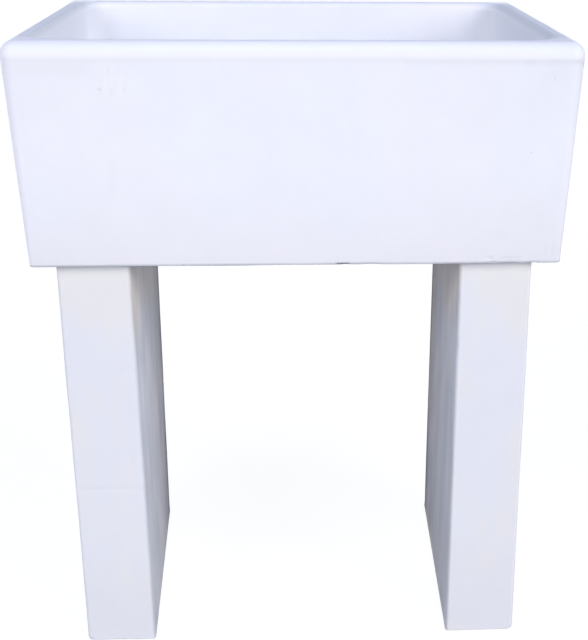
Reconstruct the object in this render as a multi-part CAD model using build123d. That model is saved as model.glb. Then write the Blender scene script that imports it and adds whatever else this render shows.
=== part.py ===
from build123d import *
from math import asin, atan2, cos, degrees, hypot, radians, tan
import os

# A cast laundry trough that stands on two slab legs, in millimetres.
# X runs left to right, Y from the front to the back and Z up from the floor.
# The origin lies on the floor, under the middle of the rim.

# Trough casting
RIM_WIDTH = 700.0          # left to right over the rim
RIM_DEPTH = 500.0          # front to back over the rim
TROUGH_HEIGHT = 280.0      # underside to rim
RIM_LAND = 34.0            # width of the rim, both round edges included
FLOOR_THICKNESS = 40.0     # at the foot of the bowl's walls
OUTER_LEAN = 13.0          # how far an outer wall leans in, from rim to underside
BOWL_LEAN = 18.0           # how far a bowl wall leans in, from rim to floor
OUTER_BULLNOSE = 18.0      # radius of the rim's outer edge
INNER_BULLNOSE = 10.0      # radius of the rim's inner edge
OUTER_CORNER = 7.0         # radius of the outer upright edges at their foot; it grows with the lean
BOWL_CORNER = 20.0         # radius of the bowl's upright corners at their foot; it grows with the lean
BOWL_COVE = 18.0           # radius between the bowl's walls and floor
UNDERSIDE_ARRIS = 1.6      # bevel of the edge round the underside
FLOOR_FALL = 6.0           # how far the floor falls from its edge to the waste
FALL_MARGIN = 2.0          # level strip between the cove and the fall

# Slab legs
LEG_HEIGHT = 570.0
LEG_WIDTH = 94.0           # left to right
LEG_LENGTH = 370.0         # front to back
LEG_ARRIS = 3.0            # radius of the upright edges
LEG_BEVEL = 2.5            # bevel of the edges round the two ends
LEG_END_INSET = 30.0       # from the underside's end to the leg's outer face
LEG_SETBACK = 15.0         # from the underside's front to the leg's front face

# Places in the casting for the waste
SEAT_DEPTH = 4.0           # rebate in the floor, under the strainer's flange
SEAT_CLEARANCE = 1.5       # radial, round the strainer's flange
DRAIN_CLEARANCE = 2.0      # radial, round the strainer's cup
REBATE_DEPTH = 10.0        # rebate in the underside, over the waste body
REBATE_CLEARANCE = 3.0     # radial, round the waste body's flange
REBATE_ARRIS = 1.5         # bevel

# Strainer, pressed from sheet
SHEET = 1.2
FLANGE_RADIUS = 35.0
FLANGE_ROLL = 1.4          # how far the flange's turned-down edge hangs
THROAT_RADIUS = 23.0       # inside the cup's mouth
THROAT_TAPER = 6.0         # degrees
CUP_DEPTH = 16.0           # flange top to cup floor
CUP_BEND = 1.6             # bevel inside the cup, between its wall and floor
STRAINER_HOLES = 8
STRAINER_HOLE_RADIUS = 3.6
STRAINER_HOLE_CIRCLE = 13.5

# Seals
FLANGE_GASKET_THICKNESS = 2.0
FLANGE_GASKET_GAP = 1.0    # radial, inside the flange's rolled edge
UNDER_GASKET_THICKNESS = 3.0
UNDER_GASKET_RECESS = 1.0  # radial, behind the waste body's flange edge

# Waste body, moulded
BODY_FLANGE_RADIUS = 38.0
BODY_FLANGE_THICKNESS = 5.0
BODY_WALL = 3.2
BODY_MOUTH_STEP = 1.6      # how much wider the mouth is than the drain hole
FUNNEL_HEIGHT = 16.0
TAIL_RADIUS = 23.9         # crest of the G 1 1/2 pipe thread
TAIL_LENGTH = 34.0
TAIL_CHAMFER = 1.0
HUB_RADIUS = 8.0
HUB_HEIGHT = 15.0
HUB_SHELF = 6.0            # plastic over the nut
SPOKES = 3
SPOKE_START = 90.0         # degrees; the first spoke points to the back
SPOKE_THICKNESS = 3.0
SPOKE_HEIGHT = 9.0

# Clamping screw and nut, M6
SCREW_RADIUS = 3.0
SCREW_HEAD_RADIUS = 6.0
SCREW_HEAD_HEIGHT = 3.4
SCREW_SLOT_WIDTH = 1.4
SCREW_SLOT_DEPTH = 1.6
SCREW_REACH = 2.0          # how far the screw stands out of the nut
SCREW_HOLE_CLEARANCE = 0.3
THREAD_CLEARANCE = 0.05
NUT_ACROSS_FLATS = 10.0
NUT_HEIGHT = 5.0
NUT_POCKET_CLEARANCE = 0.1

# Plug
PLUG_CLEARANCE = 0.3       # between the plug and the strainer
PLUG_INSERTION = 10.0
PLUG_LIP_RADIUS = 26.0
PLUG_LIP_THICKNESS = 4.0
PLUG_LIP_BEVEL = 1.2
PLUG_FOOT_BEVEL = 0.8
PLUG_HOLLOW_RADIUS = 15.0
PLUG_HOLLOW_DEPTH = 5.0

# Eye and washer, riveted through the plug
STEM_RADIUS = 2.0
COLLAR_RADIUS = 4.5
COLLAR_THICKNESS = 1.0
EYE_RADIUS = 4.2
EYE_THICKNESS = 3.0
EYE_HOLE_RADIUS = 1.7
EYE_BEVEL = 0.5
EYE_SINK = 0.6             # how deep the eye is set into its collar
RIVET_RADIUS = 3.4
RIVET_HEIGHT = 1.0
WASHER_RADIUS = 8.0
WASHER_THICKNESS = 1.0

# Pull ring
RING_RADIUS = 10.8         # to the middle of the wire
RING_WIRE_RADIUS = 1.1
RING_WIRE_SIDES = 12       # flats round the wire
RING_CLEARANCE = 0.3       # over the plug, where the ring lies on it

# Levels that follow from the sizes above
UNDERSIDE_Z = LEG_HEIGHT
RIM_Z = UNDERSIDE_Z + TROUGH_HEIGHT
FLOOR_Z = UNDERSIDE_Z + FLOOR_THICKNESS
FALL_Z = FLOOR_Z - FLOOR_FALL
SEAT_Z = FALL_Z - SEAT_DEPTH
REBATE_Z = UNDERSIDE_Z + REBATE_DEPTH
FLANGE_TOP_Z = SEAT_Z + FLANGE_GASKET_THICKNESS + SHEET
CUP_FLOOR_Z = FLANGE_TOP_Z - CUP_DEPTH
BODY_TOP_Z = REBATE_Z - UNDER_GASKET_THICKNESS
FUNNEL_Z = BODY_TOP_Z - BODY_FLANGE_THICKNESS
TAIL_TOP_Z = FUNNEL_Z - FUNNEL_HEIGHT
TAIL_END_Z = TAIL_TOP_Z - TAIL_LENGTH
NUT_TOP_Z = BODY_TOP_Z - HUB_SHELF
PLUG_LIP_Z = FLANGE_TOP_Z + PLUG_CLEARANCE
PLUG_TOP_Z = PLUG_LIP_Z + PLUG_LIP_THICKNESS
PLUG_BASE_Z = FLANGE_TOP_Z - PLUG_INSERTION
PLUG_HOLLOW_Z = PLUG_BASE_Z + PLUG_HOLLOW_DEPTH
EYE_Z = PLUG_TOP_Z + COLLAR_THICKNESS + EYE_RADIUS - EYE_SINK

# Radii that follow from the sizes above
TAPER = tan(radians(THROAT_TAPER))
SEAT_RADIUS = FLANGE_RADIUS + SEAT_CLEARANCE
CUP_OUTER_RADIUS = THROAT_RADIUS + SHEET / cos(radians(THROAT_TAPER))
DRAIN_RADIUS = CUP_OUTER_RADIUS + DRAIN_CLEARANCE
REBATE_RADIUS = BODY_FLANGE_RADIUS + REBATE_CLEARANCE
SCREW_HOLE_RADIUS = SCREW_RADIUS + SCREW_HOLE_CLEARANCE
TAIL_BORE = TAIL_RADIUS - BODY_WALL
BODY_MOUTH = DRAIN_RADIUS + BODY_MOUTH_STEP
RING_DROP = EYE_Z - PLUG_TOP_Z - RING_WIRE_RADIUS - RING_CLEARANCE
RING_DROOP = degrees(asin(RING_DROP / (2 * RING_RADIUS)))

# A bullnose on a leaning wall ends short of the wall's own top by this much
OUTER_SLOPE = OUTER_LEAN / TROUGH_HEIGHT
RIM_SHORTFALL = OUTER_BULLNOSE * (OUTER_SLOPE + hypot(1, OUTER_SLOPE) - 1)

CUT = 5.0                  # how far a cutting tool runs past a face


def grown(width, depth, margin):
    """A plan (width, depth) grown by a margin on all four sides."""
    return (width + 2 * margin, depth + 2 * margin)


def drafted_block(width, depth, corner, z_low, z_high, growth):
    """A block with rounded corners, whose walls lean outwards by growth from foot to top."""
    height = z_high - z_low
    foot = Plane.XY.offset(z_low) * RectangleRounded(width, depth, corner)
    return extrude(foot, height, taper=-degrees(atan2(growth, height)))


def disc(radius, z_low, z_high):
    """An upright cylinder about the Z axis."""
    return Pos(0, 0, z_low) * Cylinder(radius, z_high - z_low, align=(Align.CENTER, Align.CENTER, Align.MIN))


def turned(*points):
    """A solid turned about the Z axis from (radius, height) corners."""
    return revolve(make_face(Plane.XZ * Polyline(*points, close=True)), Axis.Z)


def edges_at(shape, z):
    """The edges that lie level at height z."""
    return shape.edges().filter_by_position(Axis.Z, z, z)


def outer_block():
    """The trough's outer form: leaning walls, bullnose rim and bevelled underside."""
    width, depth = grown(RIM_WIDTH, RIM_DEPTH, RIM_SHORTFALL - OUTER_LEAN)
    block = drafted_block(width, depth, OUTER_CORNER, UNDERSIDE_Z, RIM_Z, OUTER_LEAN)
    block = fillet(edges_at(block, RIM_Z), OUTER_BULLNOSE)
    return chamfer(edges_at(block, UNDERSIDE_Z), UNDERSIDE_ARRIS)


def bowl_core():
    """The form of the bowl's hollow, as the mould's core has it."""
    width, depth = grown(RIM_WIDTH, RIM_DEPTH, -RIM_LAND - BOWL_LEAN)
    slope = BOWL_LEAN / (RIM_Z - FLOOR_Z)
    growth = BOWL_LEAN + CUT * slope
    core = drafted_block(width, depth, BOWL_CORNER, FLOOR_Z, RIM_Z + CUT, growth)
    return fillet(edges_at(core, FLOOR_Z), BOWL_COVE)


def fall_prism(plane, reach, run):
    """A long trough that falls from the floor's level to the seat, with its section on a plane."""
    outline = Polyline(
        (-SEAT_RADIUS, FALL_Z),
        (SEAT_RADIUS, FALL_Z),
        (reach, FLOOR_Z),
        (-reach, FLOOR_Z),
        close=True,
    )
    return extrude(make_face(plane * outline), run, both=True)


def floor_fall():
    """Four shallow slopes that lead from the foot of the coves to the waste."""
    margin = -RIM_LAND - BOWL_LEAN - BOWL_COVE - FALL_MARGIN
    width, depth = grown(RIM_WIDTH, RIM_DEPTH, margin)
    return fall_prism(Plane.XZ, width / 2, depth) & fall_prism(Plane.YZ, depth / 2, width)


def make_basin():
    """The trough casting, with its seats for the waste."""
    body = outer_block() - bowl_core()
    rim_top = body.faces().sort_by(Axis.Z)[-1]
    body = fillet(rim_top.inner_wires()[0].edges(), INNER_BULLNOSE)
    body -= floor_fall()
    body -= disc(SEAT_RADIUS, SEAT_Z, FLOOR_Z + CUT)
    body -= disc(DRAIN_RADIUS, UNDERSIDE_Z - CUT, FLOOR_Z)
    body -= disc(REBATE_RADIUS, UNDERSIDE_Z - CUT, REBATE_Z)
    return chamfer(ring_edge(body, REBATE_RADIUS, UNDERSIDE_Z), REBATE_ARRIS)


def make_leg(side):
    """A slab leg; side is -1 for the left one and 1 for the right one."""
    leg = Pos(0, 0, LEG_HEIGHT / 2) * Box(LEG_WIDTH, LEG_LENGTH, LEG_HEIGHT)
    leg = fillet(leg.edges().filter_by(Axis.Z), LEG_ARRIS)
    leg = chamfer(edges_at(leg, 0) + edges_at(leg, LEG_HEIGHT), LEG_BEVEL)
    underside = grown(RIM_WIDTH, RIM_DEPTH, RIM_SHORTFALL - OUTER_LEAN)
    outer_face = underside[0] / 2 - LEG_END_INSET
    front_face = LEG_SETBACK - underside[1] / 2
    return Pos(side * (outer_face - LEG_WIDTH / 2), front_face + LEG_LENGTH / 2, 0) * leg


def make_strainer():
    """The pressed cup: turned-down flange, tapered throat and perforated floor."""
    flange_under = FLANGE_TOP_Z - SHEET
    floor_under = CUP_FLOOR_Z - SHEET
    throat_foot = THROAT_RADIUS - CUP_DEPTH * TAPER
    wall_foot = CUP_OUTER_RADIUS - (CUP_DEPTH + SHEET) * TAPER
    wall_head = CUP_OUTER_RADIUS - SHEET * TAPER
    cup = turned(
        (0, floor_under),
        (wall_foot, floor_under),
        (wall_head, flange_under),
        (FLANGE_RADIUS - SHEET, flange_under),
        (FLANGE_RADIUS - SHEET, flange_under - FLANGE_ROLL),
        (FLANGE_RADIUS, flange_under - FLANGE_ROLL),
        (FLANGE_RADIUS, FLANGE_TOP_Z),
        (THROAT_RADIUS, FLANGE_TOP_Z),
        (throat_foot, CUP_FLOOR_Z),
        (0, CUP_FLOOR_Z),
    )
    cup = chamfer(ring_edge(cup, throat_foot, CUP_FLOOR_Z), CUP_BEND)
    cup = chamfer(ring_edge(cup, wall_foot, floor_under), CUP_BEND + SHEET)
    cup = chamfer(ring_edge(cup, THROAT_RADIUS, FLANGE_TOP_Z), SHEET)
    cup = chamfer(ring_edge(cup, FLANGE_RADIUS, FLANGE_TOP_Z), SHEET)
    hole = disc(STRAINER_HOLE_RADIUS, floor_under - CUT, CUP_FLOOR_Z + CUT)
    for place in PolarLocations(STRAINER_HOLE_CIRCLE, STRAINER_HOLES):
        cup -= place * hole
    return cup - disc(SCREW_HOLE_RADIUS, floor_under - CUT, CUP_FLOOR_Z + CUT)


def ring_edge(shape, radius, z):
    """The round edge of a turned solid at a radius and height."""
    rings = edges_at(shape, z).filter_by(GeomType.CIRCLE)
    return [e for e in rings if abs(e.radius - radius) < 0.01]


def make_flange_gasket():
    """The flat ring between the strainer's flange and its seat in the floor."""
    outer = FLANGE_RADIUS - SHEET - FLANGE_GASKET_GAP
    return disc(outer, SEAT_Z, SEAT_Z + FLANGE_GASKET_THICKNESS) - disc(DRAIN_RADIUS, SEAT_Z - CUT, FLOOR_Z)


def make_under_gasket():
    """The flat ring between the underside's rebate and the waste body."""
    outer = BODY_FLANGE_RADIUS - UNDER_GASKET_RECESS
    return disc(outer, BODY_TOP_Z, REBATE_Z) - disc(DRAIN_RADIUS, UNDERSIDE_Z - CUT, REBATE_Z + CUT)


def make_waste_body():
    """The moulded funnel and threaded tail, with a spoked hub for the nut."""
    outside = turned(
        (0, BODY_TOP_Z),
        (BODY_FLANGE_RADIUS, BODY_TOP_Z),
        (BODY_FLANGE_RADIUS, FUNNEL_Z),
        (BODY_MOUTH + BODY_WALL, FUNNEL_Z),
        (TAIL_RADIUS, TAIL_TOP_Z),
        (TAIL_RADIUS, TAIL_END_Z + TAIL_CHAMFER),
        (TAIL_RADIUS - TAIL_CHAMFER, TAIL_END_Z),
        (0, TAIL_END_Z),
    )
    bore = turned(
        (0, BODY_TOP_Z),
        (BODY_MOUTH, BODY_TOP_Z),
        (BODY_MOUTH, FUNNEL_Z),
        (TAIL_BORE, TAIL_TOP_Z),
        (TAIL_BORE, TAIL_END_Z),
        (0, TAIL_END_Z),
    )
    spider = disc(HUB_RADIUS, BODY_TOP_Z - HUB_HEIGHT, BODY_TOP_Z)
    spoke_place = Pos(BODY_FLANGE_RADIUS / 2, 0, BODY_TOP_Z - SPOKE_HEIGHT / 2)
    spoke = spoke_place * Box(BODY_FLANGE_RADIUS, SPOKE_THICKNESS, SPOKE_HEIGHT)
    for turn in range(SPOKES):
        spider += Rot(0, 0, SPOKE_START + 360 * turn / SPOKES) * spoke
    body = outside - (bore - spider)
    body -= disc(SCREW_HOLE_RADIUS, TAIL_END_Z, BODY_TOP_Z + CUT)
    pocket = NUT_ACROSS_FLATS + 2 * NUT_POCKET_CLEARANCE
    return body - hexagon(pocket, BODY_TOP_Z - HUB_HEIGHT - CUT, NUT_TOP_Z)


def hexagon(across_flats, z_low, z_high):
    """An upright hexagonal bar about the Z axis."""
    outline = RegularPolygon(across_flats / 2, 6, major_radius=False)
    return extrude(Plane.XY.offset(z_low) * outline, z_high - z_low)


def make_clamp_nut():
    """The nut under the shelf of the waste body's hub."""
    nut = hexagon(NUT_ACROSS_FLATS, NUT_TOP_Z - NUT_HEIGHT, NUT_TOP_Z)
    return nut - disc(SCREW_RADIUS + THREAD_CLEARANCE, TAIL_END_Z, NUT_TOP_Z + CUT)


def make_clamp_screw():
    """The slotted screw that pulls strainer and waste body together."""
    tip_z = NUT_TOP_Z - NUT_HEIGHT - SCREW_REACH
    head_top = CUP_FLOOR_Z + SCREW_HEAD_HEIGHT
    head = disc(SCREW_HEAD_RADIUS, CUP_FLOOR_Z, head_top)
    head = chamfer(edges_at(head, head_top), SCREW_HEAD_HEIGHT / 2)
    slot = Pos(0, 0, head_top) * Box(4 * SCREW_HEAD_RADIUS, SCREW_SLOT_WIDTH, 2 * SCREW_SLOT_DEPTH)
    shank = disc(SCREW_RADIUS, tip_z, CUP_FLOOR_Z)
    shank = chamfer(edges_at(shank, tip_z), SCREW_RADIUS / 4)
    return head - slot + shank


def make_plug():
    """The rubber plug: a lip on the flange and a tapered, hollow foot."""
    head = THROAT_RADIUS - PLUG_CLEARANCE / cos(radians(THROAT_TAPER))
    foot = head - PLUG_INSERTION * TAPER
    plug = turned(
        (0, PLUG_BASE_Z),
        (foot, PLUG_BASE_Z),
        (head + PLUG_CLEARANCE * TAPER, PLUG_LIP_Z),
        (PLUG_LIP_RADIUS, PLUG_LIP_Z),
        (PLUG_LIP_RADIUS, PLUG_TOP_Z),
        (0, PLUG_TOP_Z),
    )
    plug = chamfer(ring_edge(plug, PLUG_LIP_RADIUS, PLUG_TOP_Z), PLUG_LIP_BEVEL)
    plug = chamfer(ring_edge(plug, foot, PLUG_BASE_Z), PLUG_FOOT_BEVEL)
    plug -= disc(PLUG_HOLLOW_RADIUS, PLUG_BASE_Z - CUT, PLUG_HOLLOW_Z)
    return plug - disc(STEM_RADIUS, PLUG_BASE_Z, PLUG_TOP_Z + CUT)


def make_plug_eye():
    """The eye over the plug, its collar, and the stem riveted underneath."""
    eye = Rot(90, 0, 0) * Cylinder(EYE_RADIUS, EYE_THICKNESS)
    eye = chamfer(eye.edges().filter_by(GeomType.CIRCLE), EYE_BEVEL)
    eye -= Rot(90, 0, 0) * Cylinder(EYE_HOLE_RADIUS, 2 * EYE_THICKNESS)
    collar = disc(COLLAR_RADIUS, PLUG_TOP_Z, PLUG_TOP_Z + COLLAR_THICKNESS)
    washer_under = PLUG_HOLLOW_Z - WASHER_THICKNESS
    stem = disc(STEM_RADIUS, washer_under, PLUG_TOP_Z)
    rivet = disc(RIVET_RADIUS, washer_under - RIVET_HEIGHT, washer_under)
    rivet = chamfer(edges_at(rivet, washer_under - RIVET_HEIGHT), RIVET_HEIGHT / 2)
    return Pos(0, 0, EYE_Z) * eye + collar + stem + rivet


def make_plug_washer():
    """The washer between the plug's hollow and the riveted end."""
    low = PLUG_HOLLOW_Z - WASHER_THICKNESS
    return disc(WASHER_RADIUS, low, PLUG_HOLLOW_Z) - disc(STEM_RADIUS, low - CUT, PLUG_HOLLOW_Z + CUT)


def make_pull_ring():
    """The ring through the eye, drooped until its far side lies on the plug."""
    wire = Plane.XZ * Pos(RING_RADIUS, 0) * RegularPolygon(RING_WIRE_RADIUS, RING_WIRE_SIDES)
    ring = Pos(RING_RADIUS, 0, 0) * revolve(wire, Axis.Z)
    return Pos(0, 0, EYE_Z) * Rot(0, RING_DROOP, 0) * ring


PIECES = {
    "basin": make_basin,
    "leg_left": lambda: make_leg(-1),
    "leg_right": lambda: make_leg(1),
    "strainer": make_strainer,
    "flange_gasket": make_flange_gasket,
    "clamp_screw": make_clamp_screw,
    "clamp_nut": make_clamp_nut,
    "under_gasket": make_under_gasket,
    "waste_body": make_waste_body,
    "plug": make_plug,
    "plug_eye": make_plug_eye,
    "plug_washer": make_plug_washer,
    "pull_ring": make_pull_ring,
}

os.makedirs("parts", exist_ok=True)
for name, make in PIECES.items():
    piece = make()
    export_step(piece, f"parts/{name}.step")
    print(name, round(piece.volume), piece.bounding_box().size)
print("hinge height", round(EYE_Z, 3), "ring droop", round(RING_DROOP, 3))
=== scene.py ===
"""The looks of a cast laundry trough on two slab legs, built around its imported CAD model.

Lengths are in millimetres until a mesh is made, and in metres from there on. X runs left to
right, Y from the front to the back and Z up from the floor, as in the CAD model.
"""

import logging
from dataclasses import dataclass
from enum import Enum
from math import atan, cos, hypot, pi, radians, sin, tan
from typing import Any, Mapping, Sequence, Union

import bpy
import numpy as np
from mathutils import Matrix, Vector

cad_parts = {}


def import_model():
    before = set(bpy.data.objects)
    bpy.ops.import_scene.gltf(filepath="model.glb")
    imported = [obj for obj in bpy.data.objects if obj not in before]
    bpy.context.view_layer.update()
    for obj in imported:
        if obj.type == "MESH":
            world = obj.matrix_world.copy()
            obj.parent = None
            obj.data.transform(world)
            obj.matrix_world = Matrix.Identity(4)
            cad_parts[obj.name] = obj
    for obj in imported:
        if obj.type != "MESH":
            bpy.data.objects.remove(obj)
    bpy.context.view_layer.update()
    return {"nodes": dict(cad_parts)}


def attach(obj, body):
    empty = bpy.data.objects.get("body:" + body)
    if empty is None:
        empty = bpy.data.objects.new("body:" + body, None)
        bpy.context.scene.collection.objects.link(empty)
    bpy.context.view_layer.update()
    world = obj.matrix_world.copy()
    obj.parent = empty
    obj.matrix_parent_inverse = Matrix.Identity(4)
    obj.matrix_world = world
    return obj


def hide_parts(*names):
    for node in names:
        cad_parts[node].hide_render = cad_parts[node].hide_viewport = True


LOG = logging.getLogger("laundry_trough")
MM = 0.001
WELD = 0.0002  # points nearer than this, in millimetres, are one point
CREASE = 42.0  # an edge of cast stone that turns further, in degrees, is sharp

Array = np.ndarray
Measure = Union[float, np.ndarray]
Socket = bpy.types.NodeSocket
Colour = tuple[float, float, float]


class Body(Enum):
    """The CAD bodies that pieces ride on."""

    TROUGH = "trough"
    STOPPER = "stopper"
    RING = "ring"


class Slot(Enum):
    """The record's material slots."""

    TROUGH_STONE = "trough_stone"
    LEG_STONE = "leg_stone"
    STAINLESS = "stainless"
    BRASS = "brass"
    SEAL_RUBBER = "seal_rubber"
    PLUG_RUBBER = "plug_rubber"
    WASTE_PLASTIC = "waste_plastic"


class Side(Enum):
    """The two legs, as the sign of X."""

    LEFT = -1
    RIGHT = 1


class Zone(Enum):
    """The parts of the trough's skin, in the order of its rows."""

    WALL = 0
    BULLNOSE = 1
    LAND = 2
    LIP = 3
    BOWL = 4
    COVE = 5
    FLOOR = 6
    SEAT = 7
    UNDERSIDE = 8
    ARRIS = 9


# ---------------------------------------------------------------- shader maths


@dataclass(frozen=True)
class Value:
    """A number that varies over a surface: a socket with Python's arithmetic.

    Each operator adds one Math node, so an expression reads as plain maths.
    """

    graph: "Graph"
    socket: Socket

    def _join(self, operation: str, first: "Operand", second: "Operand") -> "Value":
        """One Math node on two operands."""
        return self.graph.math(operation, first, second)

    def __add__(self, other: "Operand") -> "Value":
        """self + other."""
        return self._join("ADD", self, other)

    def __radd__(self, other: "Operand") -> "Value":
        """other + self."""
        return self._join("ADD", other, self)

    def __sub__(self, other: "Operand") -> "Value":
        """self - other."""
        return self._join("SUBTRACT", self, other)

    def __rsub__(self, other: "Operand") -> "Value":
        """other - self."""
        return self._join("SUBTRACT", other, self)

    def __mul__(self, other: "Operand") -> "Value":
        """self * other."""
        return self._join("MULTIPLY", self, other)

    def __rmul__(self, other: "Operand") -> "Value":
        """other * self."""
        return self._join("MULTIPLY", other, self)

    def ramp(self, low: float, high: float) -> "Value":
        """Rises smoothly from 0 at low to 1 at high."""
        inputs = {"Value": self, "From Min": low, "From Max": high}
        node = self.graph.add("ShaderNodeMapRange", inputs, interpolation_type="SMOOTHSTEP")
        return Value(self.graph, node.outputs["Result"])

    def above(self, limit: float) -> "Value":
        """1 where the value is above a limit, and 0 elsewhere."""
        return self._join("GREATER_THAN", self, limit)


Operand = Union[Value, Socket, float, Sequence[float]]


class Graph:
    """A node tree that is filled by calls."""

    def __init__(self, tree: bpy.types.NodeTree) -> None:
        """Empties the tree of a material or of the world."""
        self.tree = tree
        tree.nodes.clear()

    def add(
        self, kind: str, inputs: Mapping[str | int, Operand] | None = None, **settings: Any
    ) -> bpy.types.Node:
        """Adds a node, makes its settings and then feeds its sockets.

        Args:
            kind: the node's type.
            inputs: values or links, by socket name or number.
            settings: its properties.

        Returns:
            The node.
        """
        node = self.tree.nodes.new(kind)
        for name, value in settings.items():
            setattr(node, name, value)
        for name, value in (inputs or {}).items():
            self.feed(node.inputs[name], value)
        return node

    def feed(self, socket: Socket, value: Operand) -> None:
        """Links a socket, or sets it where the value is the same all over.

        Args:
            socket: an input.
            value: what it gets.
        """
        source = value.socket if isinstance(value, Value) else value
        if isinstance(source, Socket):
            self.tree.links.new(source, socket)
        elif socket.type == "RGBA":
            socket.default_value = (*source[:3], 1.0)
        else:
            socket.default_value = source

    def math(self, operation: str, first: Operand, second: Operand) -> Value:
        """The result of a Math node on two values."""
        node = self.add("ShaderNodeMath", {0: first, 1: second}, operation=operation)
        return Value(self, node.outputs[0])

    def place(self, scale: Sequence[float] = (1.0, 1.0, 1.0)) -> Socket:
        """The point on the piece in metres, stretched along each axis."""
        point = self.add("ShaderNodeTexCoord").outputs["Object"]
        mapping = self.add("ShaderNodeMapping", {"Vector": point, "Scale": scale})
        return mapping.outputs["Vector"]

    def radius(self) -> Value:
        """The distance from the waste's upright axis, in metres."""
        point = self.add("ShaderNodeTexCoord").outputs["Object"]
        flat = self.add("ShaderNodeVectorMath", {0: point, 1: (1.0, 1.0, 0.0)}, operation="MULTIPLY")
        length = self.add("ShaderNodeVectorMath", {0: flat.outputs["Vector"]}, operation="LENGTH")
        return Value(self, length.outputs["Value"])

    def noise(self, place: Operand, scale: float, detail: float = 2.0, rough: float = 0.5) -> Value:
        """Soft noise round 0.5, with so many features to the metre."""
        inputs = {"Vector": place, "Scale": scale, "Detail": detail, "Roughness": rough}
        return Value(self, self.add("ShaderNodeTexNoise", inputs).outputs[0])

    def lines(self, value: Value, scale: float, detail: float = 2.0) -> Value:
        """Noise along one measure, so that it draws lines across it."""
        inputs = {"W": value, "Scale": scale, "Detail": detail}
        return Value(self, self.add("ShaderNodeTexNoise", inputs, noise_dimensions="1D").outputs[0])

    def specks(self, place: Operand, scale: float, size: float, share: float) -> Value:
        """Round specks, 1 in the middle and 0 outside, in a share of the cells of a grid."""
        cell = self.add("ShaderNodeTexVoronoi", {"Vector": place, "Scale": scale})
        draw = self.add("ShaderNodeSeparateColor", {"Color": cell.outputs["Color"]})
        near = 1.0 - Value(self, cell.outputs["Distance"]).ramp(0.4 * size, size)
        return near * Value(self, draw.outputs["Red"]).above(1.0 - share)

    def mix(self, factor: Operand, first: Operand, second: Operand) -> Socket:
        """A colour between two colours."""
        inputs = {0: factor, 6: first, 7: second}
        return self.add("ShaderNodeMix", inputs, data_type="RGBA").outputs[2]

    def scaled(self, colour: Operand, factor: Operand) -> Socket:
        """A colour times a number."""
        inputs = {0: colour, "Scale": factor}
        return self.add("ShaderNodeVectorMath", inputs, operation="SCALE").outputs["Vector"]

    def painted(self, name: str) -> Value:
        """What a mesh attribute says at each point."""
        return Value(self, self.add("ShaderNodeAttribute", attribute_name=name).outputs["Fac"])

    def end(self, kind: str, factor: Operand, first: bpy.types.Node, second: bpy.types.Node) -> None:
        """Ends the tree with an output node that gets a mix of two shaders.

        Args:
            kind: the output node's type.
            factor: the second shader's share.
            first: one shader.
            second: the other.
        """
        inputs = {0: factor, 1: first.outputs[0], 2: second.outputs[0]}
        both = self.add("ShaderNodeMixShader", inputs)
        self.add(kind, {"Surface": both.outputs[0]})

    def relief(self, height: Operand) -> Socket:
        """The normal of a surface with a relief, whose height is in metres."""
        inputs = {"Height": height, "Strength": 1.0, "Distance": 1.0}
        return self.add("ShaderNodeBump", inputs).outputs["Normal"]


# ---------------------------------------------------------------- finishes


class Finish:
    """A finish: it says what feeds the sockets of a Principled shader."""

    name: str

    def sockets(self, graph: Graph) -> dict[str, Operand]:
        """The shader's inputs by name."""
        raise NotImplementedError

    def material(self) -> bpy.types.Material:
        """Makes the material, once for all the pieces that share it.

        Returns:
            The material.
        """
        found = bpy.data.materials.get(self.name)
        if found is not None:
            return found
        made = bpy.data.materials.new(self.name)
        made.use_nodes = True
        graph = Graph(made.node_tree)
        shader = graph.add("ShaderNodeBsdfPrincipled", self.sockets(graph))
        graph.add("ShaderNodeOutputMaterial", {"Surface": shader.outputs["BSDF"]})
        return made


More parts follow.
